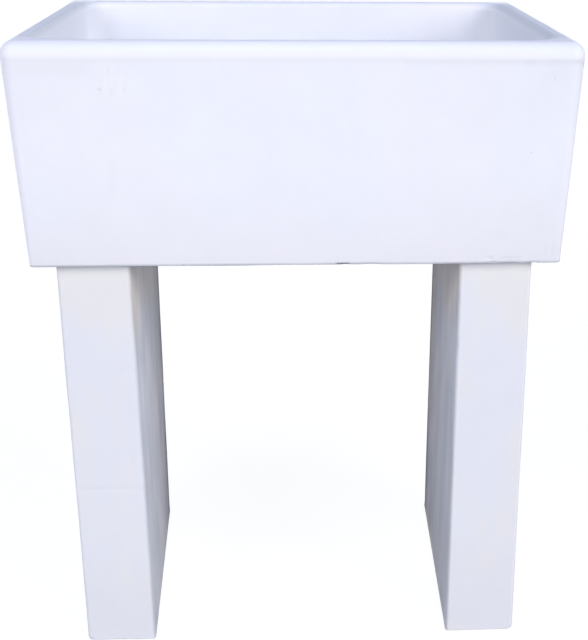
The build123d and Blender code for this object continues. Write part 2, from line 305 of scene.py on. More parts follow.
@dataclass(frozen=True)
class CastStone(Finish):
    """White cast stone: clouded in hue, finely grained, pinholed, dulled by handling.

    Where the mesh says the stone is raw, above 0, it is darker, blotched from blue grey
    to brown, and streaked along its height by the mould's boards; that darkness is partly raw
    stone and partly painted shade. The mark attribute adds to its tone, painted light and shade
    among it, the hue attribute turns it towards cool, below 0, or warm, and the edge attribute
    polishes it.
    """

    name: str
    cool: Colour
    warm: Colour
    # the raw stone's colours, which on the legs' inner faces also carry painted shade
    raw_cool: Colour = (0.452, 0.469, 0.530)
    raw_warm: Colour = (0.512, 0.465, 0.425)
    cloud_scale: tuple[float, float, float] = (3.6, 3.6, 3.6)
    cloud_range: tuple[float, float] = (0.36, 0.64)
    raw_share: float = 0.48  # how much of the cloud shows in the raw stone
    raw_range: tuple[float, float] = (0.035, 0.445)
    blotch_scale: float = 19.0
    grain_scale: float = 620.0
    pinhole_scale: float = 90.0
    pinhole_size: float = 0.085
    pinhole_share: float = 0.05
    pinhole_shade: float = 0.22
    streak_scale: tuple[float, float, float] = (32.0, 32.0, 5.0)
    streaks: float = 0.0
    roughness: float = 0.58
    sheen: float = 0.06  # the level of its mirror-like reflection

    def sockets(self, graph: Graph) -> dict[str, Operand]:
        """Hue from clouds; tone from blotches, grain, pinholes, streaks and the painted marks."""
        place = graph.place()
        cloud = graph.noise(graph.place(self.cloud_scale), 1.0, 3.0)
        blotch = graph.noise(place, self.blotch_scale, 4.0, 0.6) - 0.5
        grain = graph.noise(place, self.grain_scale, 3.0, 0.6) - 0.5
        pinhole = graph.specks(place, self.pinhole_scale, self.pinhole_size, self.pinhole_share)
        # how raw the stone is; on the legs' inner faces this is partly painted shade
        raw_and_shade = graph.painted("raw_and_shade")
        streak = graph.noise(graph.place(self.streak_scale), 1.0, 4.0, 0.62) - 0.5
        streak = streak * raw_and_shade * self.streaks
        mark = graph.painted("mark")
        edge = graph.painted("edge")
        tone = 1.0 + blotch * 0.05 + grain * 0.045 + streak + mark - pinhole * self.pinhole_shade
        rough = self.roughness + blotch * 0.2 + grain * 0.15 - edge * 0.06 - mark * 0.8
        height = grain * 0.00011 + blotch * 0.0004 + streak * 0.0006 - pinhole * 0.0005
        hue = graph.painted("hue")
        sealed = graph.mix((cloud + hue).ramp(*self.cloud_range), self.cool, self.warm)
        clouded = (cloud * self.raw_share + hue).ramp(*self.raw_range)
        raw = graph.mix(clouded, self.raw_cool, self.raw_warm)
        return {
            "Base Color": graph.scaled(graph.mix(raw_and_shade, sealed, raw), tone),
            "Roughness": rough,
            "Specular IOR Level": self.sheen,
            "Normal": graph.relief(height),
        }


@dataclass(frozen=True)
class TurnedSteel(Finish):
    """Stainless steel with the fine rings of polishing round the waste's axis."""

    name: str
    colour: Colour = (0.62, 0.62, 0.64)
    roughness: float = 0.24
    ring_scale: float = 5200.0
    ring_relief: float = 0.000002

    def sockets(self, graph: Graph) -> dict[str, Operand]:
        """Rings from the radius; a cloud of dulled metal over them."""
        ring = graph.lines(graph.radius(), self.ring_scale, 3.0) - 0.5
        film = graph.noise(graph.place(), 160.0, 4.0, 0.6) - 0.5
        return {
            "Base Color": graph.scaled(self.colour, 1.0 + film * 0.12 + ring * 0.06),
            "Metallic": 1.0,
            "Roughness": self.roughness + film * 0.16 + ring * 0.1,
            "Normal": graph.relief(ring * self.ring_relief),
        }


@dataclass(frozen=True)
class DrawnMetal(Finish):
    """Bright drawn or machined metal with a faint film and hairline scratches."""

    name: str
    colour: Colour
    tarnish: Colour
    roughness: float = 0.26

    def sockets(self, graph: Graph) -> dict[str, Operand]:
        """The film lies in clouds, and the scratches run along the height."""
        film = graph.noise(graph.place(), 240.0, 4.0, 0.6)
        scratch = graph.noise(graph.place((2600.0, 2600.0, 240.0)), 1.0, 2.0) - 0.5
        return {
            "Base Color": graph.mix(film.ramp(0.45, 0.8), self.colour, self.tarnish),
            "Metallic": 1.0,
            "Roughness": self.roughness + film * 0.18 + scratch * 0.12,
            "Normal": graph.relief(scratch * 0.000006),
        }


@dataclass(frozen=True)
class MouldedRubber(Finish):
    """Black rubber: a fine moulded skin with a bloom of dust."""

    name: str
    colour: Colour = (0.035, 0.035, 0.038)
    bloom: Colour = (0.105, 0.105, 0.11)
    roughness: float = 0.58

    def sockets(self, graph: Graph) -> dict[str, Operand]:
        """The bloom lies in patches; the skin is a fine noise with moulding rings."""
        place = graph.place()
        patch = graph.noise(place, 85.0, 4.0, 0.65)
        skin = graph.noise(place, 2600.0, 2.0) - 0.5
        ring = graph.lines(graph.radius(), 900.0) - 0.5
        return {
            "Base Color": graph.mix(patch.ramp(0.42, 0.85), self.colour, self.bloom),
            "Roughness": self.roughness + patch * 0.2 + skin * 0.1,
            "Normal": graph.relief(skin * 0.00003 + ring * 0.00002),
        }


@dataclass(frozen=True)
class MouldedPlastic(Finish):
    """White moulded plastic: flow clouds, a spark-eroded skin and a little grime."""

    name: str
    colour: Colour = (0.76, 0.76, 0.745)
    grime: Colour = (0.60, 0.585, 0.54)
    roughness: float = 0.38

    def sockets(self, graph: Graph) -> dict[str, Operand]:
        """Grime gathers in clouds; the skin is a fine noise."""
        place = graph.place()
        cloud = graph.noise(place, 42.0, 4.0, 0.6)
        skin = graph.noise(place, 1500.0, 2.0) - 0.5
        return {
            "Base Color": graph.mix(cloud.ramp(0.5, 0.95), self.colour, self.grime),
            "Roughness": self.roughness + cloud * 0.12 + skin * 0.14,
            "Normal": graph.relief(skin * 0.00003),
            "Subsurface Weight": 0.05,
            "Subsurface Radius": (1.0, 0.9, 0.8),
            "Subsurface Scale": 0.002,
        }


TROUGH_STONE = CastStone("cast_stone_trough", cool=(0.812, 0.813, 0.852), warm=(0.836, 0.808, 0.850))
LEG_STONE = CastStone(
    "cast_stone_leg",
    cool=(0.722, 0.713, 0.754),
    warm=(0.738, 0.716, 0.712),
    cloud_scale=(24.0, 24.0, 7.0),
    pinhole_share=0.08,
    roughness=0.64,
    streaks=0.50,
)
STAINLESS = TurnedSteel("stainless_turned")
STEEL_WIRE = DrawnMetal("stainless_drawn", colour=(0.63, 0.63, 0.65), tarnish=(0.50, 0.50, 0.50))
BRASS = DrawnMetal("brass_turned", colour=(0.72, 0.55, 0.27), tarnish=(0.50, 0.36, 0.17), roughness=0.3)
SEAL_RUBBER = MouldedRubber("rubber_seal", colour=(0.03, 0.03, 0.03), roughness=0.66)
PLUG_RUBBER = MouldedRubber("rubber_plug_black", colour=(0.040, 0.040, 0.044))
WASTE_PLASTIC = MouldedPlastic("moulded_waste_plastic")


# ---------------------------------------------------------------- shapes


def smooth(value: Array, low: float, high: float) -> Array:
    """Rises from 0 at low to 1 at high as 3t^2 - 2t^3."""
    t = np.clip((value - low) / (high - low), 0.0, 1.0)
    return t * t * (3.0 - 2.0 * t)


def between(low: float, high: float, step: float, *finer: tuple[float, float, float]) -> Array:
    """Stations from low to high, no further apart than a step, and closer in some stretches.

    Args:
        low: the first station.
        high: the last station.
        step: the widest spacing.
        finer: (start, end, spacing) of each closer stretch.

    Returns:
        The stations in rising order, both ends among them.
    """
    parts = [np.linspace(low, high, int(np.ceil((high - low) / step)) + 1)]
    for start, end, spacing in finer:
        parts.append(np.arange(max(start, low), min(end, high), spacing))
    found = np.unique(np.concatenate(parts))
    closest = 0.3 * min([step] + [stretch[2] for stretch in finer])
    kept = found[np.append(True, np.diff(found) > closest)]
    kept[-1] = high
    return kept


def rounded(*corners: tuple[float, float, float], closed: bool = True, steps: int = 4) -> Array:
    """An outline whose corners are arcs, with a point beside each arc to keep the flats flat.

    At a corner the arc's middle lies on the bisector, at radius / sin(half angle) from it,
    and the arc starts at radius / tan(half angle) from the corner.

    Args:
        corners: (radius from the axis, height, radius of the rounding) of each corner.
        closed: whether the last corner leads back to the first.
        steps: how many chords an arc has.

    Returns:
        Points (n, 2).
    """
    table = np.array(corners, float)
    place, fillet = table[:, :2], table[:, 2]
    points: list[Array] = []
    for i in range(len(place)):
        if fillet[i] <= 0 or (not closed and i in (0, len(place) - 1)):
            points.append(place[i : i + 1])
            continue
        back = place[i - 1] - place[i]
        on = place[(i + 1) % len(place)] - place[i]
        reach = min(np.linalg.norm(back), np.linalg.norm(on))
        back, on = back / np.linalg.norm(back), on / np.linalg.norm(on)
        half = 0.5 * np.arccos(np.clip(back @ on, -1.0, 1.0))
        cut = min(fillet[i] / tan(half), 0.42 * reach)
        size = cut * tan(half)
        middle = place[i] + (back + on) / np.linalg.norm(back + on) * size / sin(half)
        first, last = place[i] + back * cut - middle, place[i] + on * cut - middle
        sweep = np.arctan2(first[0] * last[1] - first[1] * last[0], first @ last)
        turn = np.linspace(0.0, sweep, steps + 1)
        arc = np.outer(np.cos(turn), first) + np.outer(np.sin(turn), [-first[1], first[0]])
        guard = min(0.4 * size, 0.07 * reach)
        near, far = place[i] + back * (cut + guard), place[i] + on * (cut + guard)
        points.append(np.vstack([near, middle + arc, far]))
    return np.concatenate(points)


def turned(profile: Array, stations: int) -> Array:
    """Carries a profile round the Z axis: (r cos a, r sin a, z).

    Args:
        profile: (rows, 2) of radius and height, or (rows, stations, 2) where it changes with the angle.
        stations: how many places round the axis.

    Returns:
        Points (rows, stations, 3).
    """
    angle = station_angles(stations)
    if profile.ndim == 2:
        profile = np.repeat(profile[:, None, :], stations, axis=1)
    radius, height = profile[..., 0], profile[..., 1]
    return np.stack([radius * np.cos(angle), radius * np.sin(angle), height], axis=-1)


def station_angles(stations: int) -> Array:
    """Equal steps round a full turn, from 0."""
    return np.arange(stations) * (2.0 * pi / stations)


def axes(points: Array) -> tuple[Array, Array, Array]:
    """X, Y and Z of points (..., 3)."""
    return points[..., 0], points[..., 1], points[..., 2]


def spun(points: Array, angle: float) -> Array:
    """Points turned round the Z axis."""
    turn = [[cos(angle), sin(angle), 0.0], [-sin(angle), cos(angle), 0.0], [0.0, 0.0, 1.0]]
    return points @ np.array(turn)


def squared(wave: Array, power: float) -> Array:
    """A wave raised to a power below 1 with its sign kept, which flattens its crests."""
    return np.sign(wave) * np.abs(wave) ** power


def hexagon_radius(across_flats: float, angle: Array) -> Array:
    """How far a hexagon reaches at each angle: half its width over the cosine from the nearest flat."""
    return 0.5 * across_flats / np.cos(np.mod(angle, pi / 3.0) - pi / 6.0)


@dataclass(frozen=True)
class PlanLoop:
    """Stations round a rounded rectangle, which serve any size of it.

    A point is half * edge + radius * normal, where edge runs round the unit square and normal
    points outwards, so that levels of different size line up station by station.
    """

    edge: Array
    normal: Array

    @classmethod
    def build(cls, front: Array, back: Array, side: Array, corner_steps: int) -> "PlanLoop":
        """Walks round from the front's left end, anticlockwise as seen from above.

        Args:
            front: stations along the front from -1 to 1, both ends among them.
            back: the same for the back.
            side: the same for either side, from front to back.
            corner_steps: how many chords a corner has.

        Returns:
            The loop.
        """
        inner = np.linspace(0.0, pi / 2, corner_steps + 1)[1:-1]
        edges: list[Array] = []
        normals: list[Array] = []
        runs = [(front, 1.0, 0.0), (side, 0.0, 1.0), (back, -1.0, 0.0), (side, 0.0, -1.0)]
        for turn, (run, x_way, y_way) in enumerate(runs):
            start = -pi / 2 + turn * pi / 2
            edge = np.stack([x_way * run + y_way, y_way * run - x_way], 1)
            edges += [edge, np.repeat(edge[-1:], len(inner), axis=0)]
            normals.append(np.repeat([(y_way, -x_way)], len(run), axis=0))
            normals.append(np.stack([np.cos(start + inner), np.sin(start + inner)], 1))
        return cls(np.concatenate(edges), np.concatenate(normals))

    def levels(self, half: Array, radius: Array, height: Array) -> Array:
        """The loop at several levels, of half lengths (rows, 2) between the corners' middles."""
        plan = half[:, None, :] * self.edge + radius[:, None, None] * self.normal
        return np.concatenate([plan, np.broadcast_to(height[:, None, None], (*plan.shape[:2], 1))], axis=2)

    def angles(self, half: Sequence[float], spread: float) -> Array:
        """The stations' bearings from the middle, on a loop with generous corners."""
        plan = np.array(half) * self.edge + spread * self.normal
        return np.arctan2(plan[:, 1], plan[:, 0])


@dataclass(frozen=True)
class Ripple:
    """Gentle unevenness of a cast face: a sum of seeded waves, from 0 to 1.

    The value is the mean of cos(k . p + phase) over the waves, moved and scaled to 0..1.
    """

    seed: int
    shortest: float
    longest: float
    waves: int = 14

    def at(self, points: Array) -> Array:
        """The unevenness at points (..., 3) in millimetres."""
        draw = np.random.default_rng(self.seed)
        way = draw.normal(size=(self.waves, 3))
        way /= np.linalg.norm(way, axis=1, keepdims=True)
        length = draw.uniform(self.shortest, self.longest, self.waves)
        phase = draw.uniform(0.0, 2.0 * pi, self.waves)
        wave = np.cos(points @ (way * (2.0 * pi / length)[:, None]).T + phase)
        return np.clip(0.5 + wave.mean(axis=-1), 0.0, 1.0)


@dataclass(frozen=True)
class Stroke:
    """A soft line on an upright face, from one point to another, which changes its tone."""

    start: tuple[float, float]
    end: tuple[float, float]
    width: float
    tone: float

    def at(self, points: Array) -> Array:
        """The tone at points (..., 3), as exp(-(distance / width)^2) in the plane of X and Z."""
        flat = points[..., [0, 2]]
        run = np.subtract(self.end, self.start)
        share = np.clip((flat - self.start) @ run / max(run @ run, 1e-9), 0.0, 1.0)
        gap = np.linalg.norm(flat - self.start - share[..., None] * run, axis=-1)
        return self.tone * np.exp(-((gap / self.width) ** 2))


@dataclass(frozen=True)
class Dent:
    """A small hollow or chip: (1 - (distance / radius)^2)^2 of its depth, with a ragged rim."""

    middle: tuple[float, float, float]
    radius: float
    depth: float
    stretch: tuple[float, float, float] = (1.0, 1.0, 1.0)

    def at(self, points: Array) -> Array:
        """The depth at points (..., 3)."""
        gap = np.linalg.norm((points - np.array(self.middle)) / np.array(self.stretch), axis=-1)
        ragged = 1.0 + 0.22 * np.sin(points[..., 0] * 2.3) * np.cos(points[..., 2] * 1.9)
        return self.depth * np.clip(1.0 - (gap * ragged / self.radius) ** 2, 0.0, 1.0) ** 2


def evened(values: Array, path: Array, reach: float) -> Array:
    """Evens out steps along a path, as a mean with weights exp(-(distance / reach)^2) * length.

    Args:
        values: one for each point of the path.
        path: its points (count, 3).
        reach: how far the mean reaches, in millimetres.

    Returns:
        The evened values.
    """
    step = np.linalg.norm(np.diff(path, axis=0), axis=1)
    along = np.concatenate([[0.0], np.cumsum(step)])
    weight = np.exp(-(((along[:, None] - along[None, :]) / reach) ** 2)) * np.gradient(along)
    return (weight @ values) / weight.sum(axis=1)


def grid_normals(points: Array) -> Array:
    """Unit normals of a grid that closes round its stations, across rows by stations."""
    along = np.roll(points, -1, axis=1) - np.roll(points, 1, axis=1)
    across = np.gradient(points, axis=0)
    normal = np.cross(along, across)
    return normal / np.maximum(np.linalg.norm(normal, axis=-1, keepdims=True), 1e-9)


class Shell:
    """Grids that are welded into one closed mesh with its faces outwards."""

    def __init__(self) -> None:
        """Starts an empty shell."""
        self.points: list[Array] = []
        self.quads: list[Array] = []
        self.paint: dict[str, list[Array]] = {}
        self.count = 0

    def add(self, points: Array, rows_close: bool = False, flip: bool = False, **paint: Array) -> "Shell":
        """Adds a grid, whose last station leads back to the first.

        Args:
            points: (rows, stations, 3).
            rows_close: whether the last row leads back to the first.
            flip: turns the grid's faces round.
            paint: what is painted on the points, each (rows, stations).

        Returns:
            The shell itself.
        """
        rows, stations = points.shape[:2]
        index = np.arange(rows * stations).reshape(rows, stations) + self.count
        if rows_close:
            index = np.concatenate([index, index[:1]], axis=0)
        index = np.concatenate([index, index[:, :1]], axis=1)
        corners = [index[:-1, :-1], index[:-1, 1:], index[1:, 1:], index[1:, :-1]]
        quads = np.stack([corner.ravel() for corner in corners], axis=1)
        self.quads.append(quads[:, ::-1] if flip else quads)
        self.points.append(points.reshape(-1, 3))
        for name, values in paint.items():
            self.paint.setdefault(name, []).append(np.broadcast_to(values, (rows, stations)).ravel())
        self.count += rows * stations
        return self

    def mesh(self, name: str, crease: float) -> bpy.types.Mesh:
        """Welds the points, drops what has shrunk to nothing and faces everything outwards.

        Args:
            name: the mesh's name.
            crease: the angle in degrees past which an edge is drawn sharp.

        Returns:
            The mesh, in metres.
        """
        points = np.concatenate(self.points)
        quads = np.concatenate(self.quads)
        keys = np.floor(points / WELD + 0.31).astype(np.int64)
        first, member = np.unique(keys, axis=0, return_index=True, return_inverse=True)[1:]
        points = points[first]
        quads = member.reshape(-1)[quads]
        pinched = quads == np.roll(quads, -1, axis=1)
        whole = quads[pinched.sum(axis=1) == 0]
        halved = pinched.sum(axis=1) == 1
        triangles = quads[halved][~pinched[halved]].reshape(-1, 3)
        solid = np.concatenate([triangles, whole[:, [0, 1, 2]], whole[:, [0, 2, 3]]])
        corner = points[solid]
        volume = np.einsum("ij,ij->i", corner[:, 0], np.cross(corner[:, 1], corner[:, 2])).sum()
        if volume < 0:
            whole, triangles = whole[:, ::-1], triangles[:, ::-1]
        mesh = bpy.data.meshes.new(name)
        mesh.from_pydata((points * MM).tolist(), [], whole.tolist() + triangles.tolist())
        mesh.update()
        for title, values in self.paint.items():
            layer = mesh.attributes.new(title, "FLOAT", "POINT")
            layer.data.foreach_set("value", np.concatenate(values)[first].astype(np.float32))
        finish_mesh(mesh, crease)
        return mesh


def turned_mesh(name: str, profile: Array, stations: int, crease: float) -> bpy.types.Mesh:
    """The mesh of a closed profile that is carried round the Z axis."""
    return Shell().add(turned(profile, stations), rows_close=True).mesh(name, crease)


def linked(name: str, data: Any) -> bpy.types.Object:
    """Makes an object for a mesh, a lamp or a camera and puts it into the scene."""
    made = bpy.data.objects.new(name, data)
    bpy.context.scene.collection.objects.link(made)
    return made


def finish_mesh(mesh: bpy.types.Mesh, crease: float) -> None:
    """Shades a mesh smoothly but for the edges that are sharper than an angle in degrees."""
    mesh.polygons.foreach_set("use_smooth", np.ones(len(mesh.polygons), bool))
    mesh.set_sharp_from_angle(angle=radians(crease))


def fused(name: str, meshes: Sequence[bpy.types.Mesh], crease: float) -> bpy.types.Mesh:
    """Joins closed meshes that run into each other into one skin.

    Args:
        name: the new mesh's name.
        meshes: the closed meshes; the first one is the largest.
        crease: the angle in degrees past which an edge is drawn sharp.

    Returns:
        The joined mesh.
    """
    objects = [linked(f"{name}.{i}", mesh) for i, mesh in enumerate(meshes)]
    for item in objects[1:]:
        union = objects[0].modifiers.new("union", "BOOLEAN")
        union.operation = "UNION"
        union.solver = "EXACT"
        union.object = item
    graph = bpy.context.evaluated_depsgraph_get()
    joined = bpy.data.meshes.new_from_object(objects[0].evaluated_get(graph))
    joined.name = name
    for item in objects:
        bpy.data.objects.remove(item)
    finish_mesh(joined, crease)
    return joined


def place_piece(mesh: bpy.types.Mesh, body: Body, slot: Slot, finish: Finish, *nodes: str) -> None:
    """Puts a finished mesh into the scene in the place of its CAD nodes.

    Args:
        mesh: the mesh, in place; the piece takes its name.
        body: the CAD body that it rides on.
        slot: the record's material slot; it is not used.
        finish: its finish.
        nodes: the CAD nodes that it stands for.
    """
    piece = linked(mesh.name, mesh)
    mesh.materials.clear()
    mesh.materials.append(finish.material())
    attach(piece, body.value)
    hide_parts(*nodes)
    LOG.info("%s: %d faces, %s, for %s", piece.name, len(mesh.polygons), finish.name, ", ".join(nodes))


def dress_node(node: bpy.types.Object, finish: Finish) -> None:
    """Gives a CAD node that stays a better material."""
    node.data.materials.clear()
    node.data.materials.append(finish.material())
    LOG.info("%s: CAD node kept, %s", node.name, finish.name)


# ---------------------------------------------------------------- the trough


@dataclass(frozen=True)
class Draft:
    """Level rounded rectangles whose corners open with height, as in a drafted mould."""

    half: tuple[float, float]  # between the corners' middles
    foot_radius: float
    foot: float  # the level of foot_radius
    slope: float  # how much the radius grows for each millimetre of height

    def radius(self, height: Measure) -> Measure:
        """The corner radius at a height."""
        return self.foot_radius + self.slope * (height - self.foot)

    @property
    def stretch(self) -> float:
        """The leaning wall's length for each millimetre of height."""
        return hypot(1.0, self.slope)


OUTSIDE = (Zone.WALL, Zone.BULLNOSE)
ZONE_UNEVENNESS: Mapping[Zone, float] = {
    Zone.WALL: 1.0,
    Zone.BULLNOSE: 0.45,
    Zone.LAND: 0.3,
    Zone.LIP: 0.5,
    Zone.BOWL: 1.0,
    Zone.COVE: 0.8,
    Zone.FLOOR: 0.5,
    Zone.SEAT: 0.0,
    Zone.UNDERSIDE: 0.0,
    Zone.ARRIS: 0.8,
}


class Skin:
    """The trough's rows: how each level is laid out, and which zone it belongs to.

    A row is a rounded rectangle with a corner radius. Its share says where the corners' middles
    are, from the outer wall's, 0, to the bowl's, 1. Its circle says how far it has gone towards a
    circle, 1, of the bore's radius.
    """

    def __init__(self) -> None:
        """Starts with no rows."""
        self.rows: list[Array] = []

    def add(
        self,
        zone: Zone,
        height: Array,
        radius: Measure = 0.0,
        share: Measure = 0.0,
        circle: Measure = 0.0,
        bore: Measure = 0.0,
    ) -> None:
        """Adds rows of one zone."""
        measures = (height, radius, share, circle, bore, float(zone.value))
        self.rows.append(np.stack(np.broadcast_arrays(*measures)))

    def arc(
        self, zone: Zone, middle: float, level: float, size: float, angle: Array, share: float = 0.0
    ) -> None:
        """Adds a round edge: an arc of a size round a middle, in corner radius and height."""
        self.add(zone, level + size * np.sin(angle), middle + size * np.cos(angle), share)

    def columns(self) -> Array:
        """Height, radius, share, circle, bore and zone, each for all rows."""
        return np.concatenate(self.rows, axis=1)


def within(zone: Array, *wanted: Zone) -> Array:
    """Which rows belong to some zones, as a column."""
    return np.isin(zone, [item.value for item in wanted])[:, None]


@dataclass(frozen=True)
class TroughWearAndShade:
    """How real stains and painted light and shade change the trough's tone: 0.1 makes it a tenth lighter."""

    ends: float = -0.045  # painted shade at the front's two ends
    low_front_shade: float = -0.045  # painted shade on the front's lower half
    contact_shade: float = -0.03  # painted shade in the last centimetres above the legs
    foot_grime_and_shade: float = -0.30  # dirt and painted shade on the foot's edge
    left_corner_light: float = 0.20  # painted light on the front's upright corners
    right_corner_light: float = 0.06
    nose: float = 0.08  # painted light on the bullnose's upper half
    # painted shade on the bullnose towards the front's ends
    nose_ends: float = -0.09
    crest: float = 0.06  # painted light on the top of the bullnose, at the front and at the back
    land: float = -0.045  # painted shade on the rim's flat
    # painted light on the rim's back run
    far_land: float = 0.17
    lip: float = -0.12  # painted shade on the rim's inner edge
    cross_run_light: float = 0.085  # painted light added on the front and back runs
    # painted light added to the lip on the front and back runs
    cross_run_lip_light: float = 0.102
    inside: float = 0.03  # the bowl's foot and floor,
    waste: float = -0.05  # which are dirty round the waste
    silt: float = -0.025
    tide: float = -0.02  # the line that standing water left
    left_bowl_shade: float = -0.08  # painted shade in the bowl's upright corners
    right_bowl_shade: float = -0.18
    beside_corner_light: float = 0.07  # painted light on the bowl's back wall beside its corners


@dataclass(frozen=True)
class TroughHue:
    """How far the trough's hue turns towards cool, below 0, or warm."""

    under_rim: float = 0.10
    # a painted cool tint of blue light reflected on the rim
    rim: float = -0.09
    foot: float = 0.10
    front_corner: float = 0.25
    crest: float = 0.2  # the top of the bullnose, at the front and at the back
    inside: float = -0.40  # the land, the lip and the bowl, a painted cool tint of blue light from above,
    far_side: float = 0.50  # but less so at the back
    front_run: float = 0.45  # and on the rim's front run


@dataclass
class Trough:
    """The one-piece casting: drafted walls, bullnose rim, deep bowl and the waste's seat.

    Its methods take points (rows, stations, 3) and the zone of each row, and give a number for
    each point: a depth, a share from 0 to 1, a tone or a hue.
    """

    length: float = 700.0
    outer: Draft = Draft((330.855, 230.855), 7.0, 570.0, 13.0 / 280.0)
    bowl: Draft = Draft((278.0, 178.0), 20.0, 610.0, 18.0 / 240.0)
    rim: float = 850.0
    underside: float = 570.0
    floor: float = 610.0
    fall_foot: float = 604.0
    seat: float = 600.0
    rebate: float = 580.0
    bullnose: float = 18.0
    lip: float = 10.0
    cove: float = 18.0
    arris: float = 1.9
    seat_radius: float = 36.5
    drain_radius: float = 26.2
    rebate_radius: float = 41.0
    parting: float = 830.6  # the mould's parting line, under the bullnose
    parting_step: float = 0.04
    unevenness: float = 0.5  # how deep the walls' gentle hollows are
    ripple: float = 0.12  # the depth of the shorter ones
    edge_wave: float = 0.7  # how far the foot's edge rises and falls
    edge_reach: float = 16.0
    blend_reach: float = 8.0  # over which the hollows of one zone pass into the next
    cross_start: tuple[float, float] = (190.0, 214.0)  # where the rim's cross runs begin
    foot_warmth: float = 110.0  # how far above the foot it reaches
    contact_fade: float = 0.05  # how far up the painted shade above the legs reaches, as a share of the wall
    tide_level: float = 668.0
    tide_width: float = 9.0
    waste_dirt: float = 60.0  # how far from the seat it reaches
    light_strip_place: float = 266.0  # of the back wall's strips of painted light, left and right
    light_strip_width: float = 22.0
    wear_and_shade: TroughWearAndShade = TroughWearAndShade()
    hue: TroughHue = TroughHue()
    marks: tuple[Stroke, ...] = (
        Stroke((-224.5, 820.6), (-226.3, 796.0), 1.9, 0.028),
        Stroke((-208.5, 809.0), (-209.9, 788.0), 2.0, 0.026),
        Stroke((-219.2, 810.0), (-219.4, 804.0), 1.7, 0.030),
        Stroke((-219.1, 824.2), (-217.0, 817.6), 1.5, 0.022),
        Stroke((-232.0, 819.6), (-236.4, 817.8), 1.6, 0.018),
        Stroke((-221.6, 820.6), (-222.1, 815.4), 1.5, -0.040),
        Stroke((-218.9, 793.8), (-219.3, 788.2), 1.6, -0.034),
        Stroke((-204.4, 795.0), (-204.6, 791.0), 1.4, -0.036),
        Stroke((-234.1, 794.0), (-234.1, 793.8), 1.9, -0.110),
        Stroke((-234.5, 790.4), (-235.2, 785.0), 1.4, -0.022),
        Stroke((-225.8, 702.0), (-227.0, 670.0), 5.0, -0.020),
        Stroke((315.9, 601.6), (317.6, 580.6), 1.6, -0.030),
        Stroke((325.0, 601.6), (326.7, 580.6), 1.6, -0.034),
        Stroke((322.7, 614.4), (322.8, 613.8), 2.6, -0.040),
        Stroke((298.0, 640.0), (308.0, 622.0), 9.0, -0.014),
        Stroke((259.4, 578.9), (284.0, 578.6), 0.9, -0.080),
        Stroke((50.0, 571.6), (64.0, 571.6), 1.5, -0.45),
        # this stroke and the six after it are painted shade under the parting line's small step
        Stroke((-345.0, 828.4), (348.0, 828.4), 2.6, -0.020),
        Stroke((128.0, 827.0), (348.0, 826.0), 4.2, -0.024),
        Stroke((242.0, 829.4), (343.0, 828.6), 2.4, -0.020),
        Stroke((275.0, 826.0), (284.0, 826.6), 3.0, -0.030),
        Stroke((300.0, 826.4), (316.0, 829.0), 3.0, -0.026),
        Stroke((336.0, 829.0), (345.0, 825.0), 3.4, -0.040),
        Stroke((347.0, 823.4), (347.6, 822.4), 1.6, -0.16),
        Stroke((-345.0, 818.0), (-250.0, 820.0), 9.0, -0.020),
    )
    dents: tuple[Dent, ...] = (
        Dent((-234.1, -248.3, 794.0), 2.6, 1.3),
        Dent((244.5, -238.2, 576.8), 5.5, 1.5, (1.2, 1.0, 0.6)),
        Dent((249.0, -238.0, 572.4), 5.0, 1.6, (1.4, 1.0, 0.5)),
        Dent((271.0, -238.0, 571.0), 9.0, 0.9, (2.0, 1.0, 0.4)),
        Dent((300.0, -238.0, 571.0), 7.0, 1.0, (1.5, 1.0, 0.5)),
        Dent((92.0, -238.0, 570.6), 7.0, 0.9, (2.6, 1.0, 0.45)),
        Dent((60.0, -238.0, 570.6), 5.0, 0.8, (1.8, 1.0, 0.45)),
        Dent((322.7, -239.9, 614.0), 2.2, 0.5),
        Dent((305.4, -203.6, 850.0), 2.6, 0.6, (1.5, 1.0, 1.0)),
        Dent((312.4, -203.4, 850.0), 2.2, 0.5, (1.3, 1.0, 1.0)),
        Dent((-337.0, 120.0, 571.0), 6.0, 1.0, (1.0, 1.6, 0.6)),
        Dent((150.0, 238.2, 571.0), 6.5, 1.1, (1.8, 1.0, 0.5)),
        Dent((-205.0, 238.2, 571.0), 5.0, 0.9, (1.5, 1.0, 0.6)),
    )

    def loop(self) -> PlanLoop:
        """Stations that are closer where the front wall has its marks and chips."""
        length, depth = self.outer.half
        fine = [(-242.0, -196.0, 1.5), (240.0, 290.0, 2.6), (296.0, 331.0, 3.0), (50.0, 104.0, 4.0)]
        front = between(-length, length, 13.0, *fine) / length
        back = between(-length, length, 17.0, (140.0, 160.0, 3.0), (-212.0, -198.0, 3.0)) / length
        side = between(-depth, depth, 13.0, (-216.0, -192.0, 3.0), (112.0, 128.0, 3.0)) / depth
        return PlanLoop.build(front, back, side, 14)

    def skin(self) -> Skin:
        """The rows, from the wall's foot over the rim into the bowl and back underneath.

        A wall that leans by its slope meets an arc of radius r where the arc's middle is
        r * stretch away from it.

        Returns:
            The rows.
        """
        skin = Skin()
        outer, bowl = self.outer, self.bowl
        lean, bowl_lean = atan(outer.slope), atan(bowl.slope)

        nose_level = self.rim - self.bullnose
        nose_middle = outer.radius(nose_level) - self.bullnose * outer.stretch
        wall_top = nose_level - self.bullnose * sin(lean)
        fine = [(self.underside, 586.0, 1.6), (785.0, 826.0, 1.7), (826.0, wall_top, 0.6)]
        foot = self.underside + self.arris * 1.3
        height = between(foot, wall_top, 11.0, *fine)[:-1]
        skin.add(Zone.WALL, height, outer.radius(height))

        turn = np.linspace(-lean, pi / 2, 17)
        skin.arc(Zone.BULLNOSE, nose_middle, nose_level, self.bullnose, turn)

        lip_level = self.rim - self.lip
        lip_middle = bowl.radius(lip_level) + self.lip * bowl.stretch
        share = np.array([0.15, 0.5, 0.85])
        land = nose_middle + share * (lip_middle - nose_middle)
        skin.add(Zone.LAND, np.full(3, self.rim), land, share)

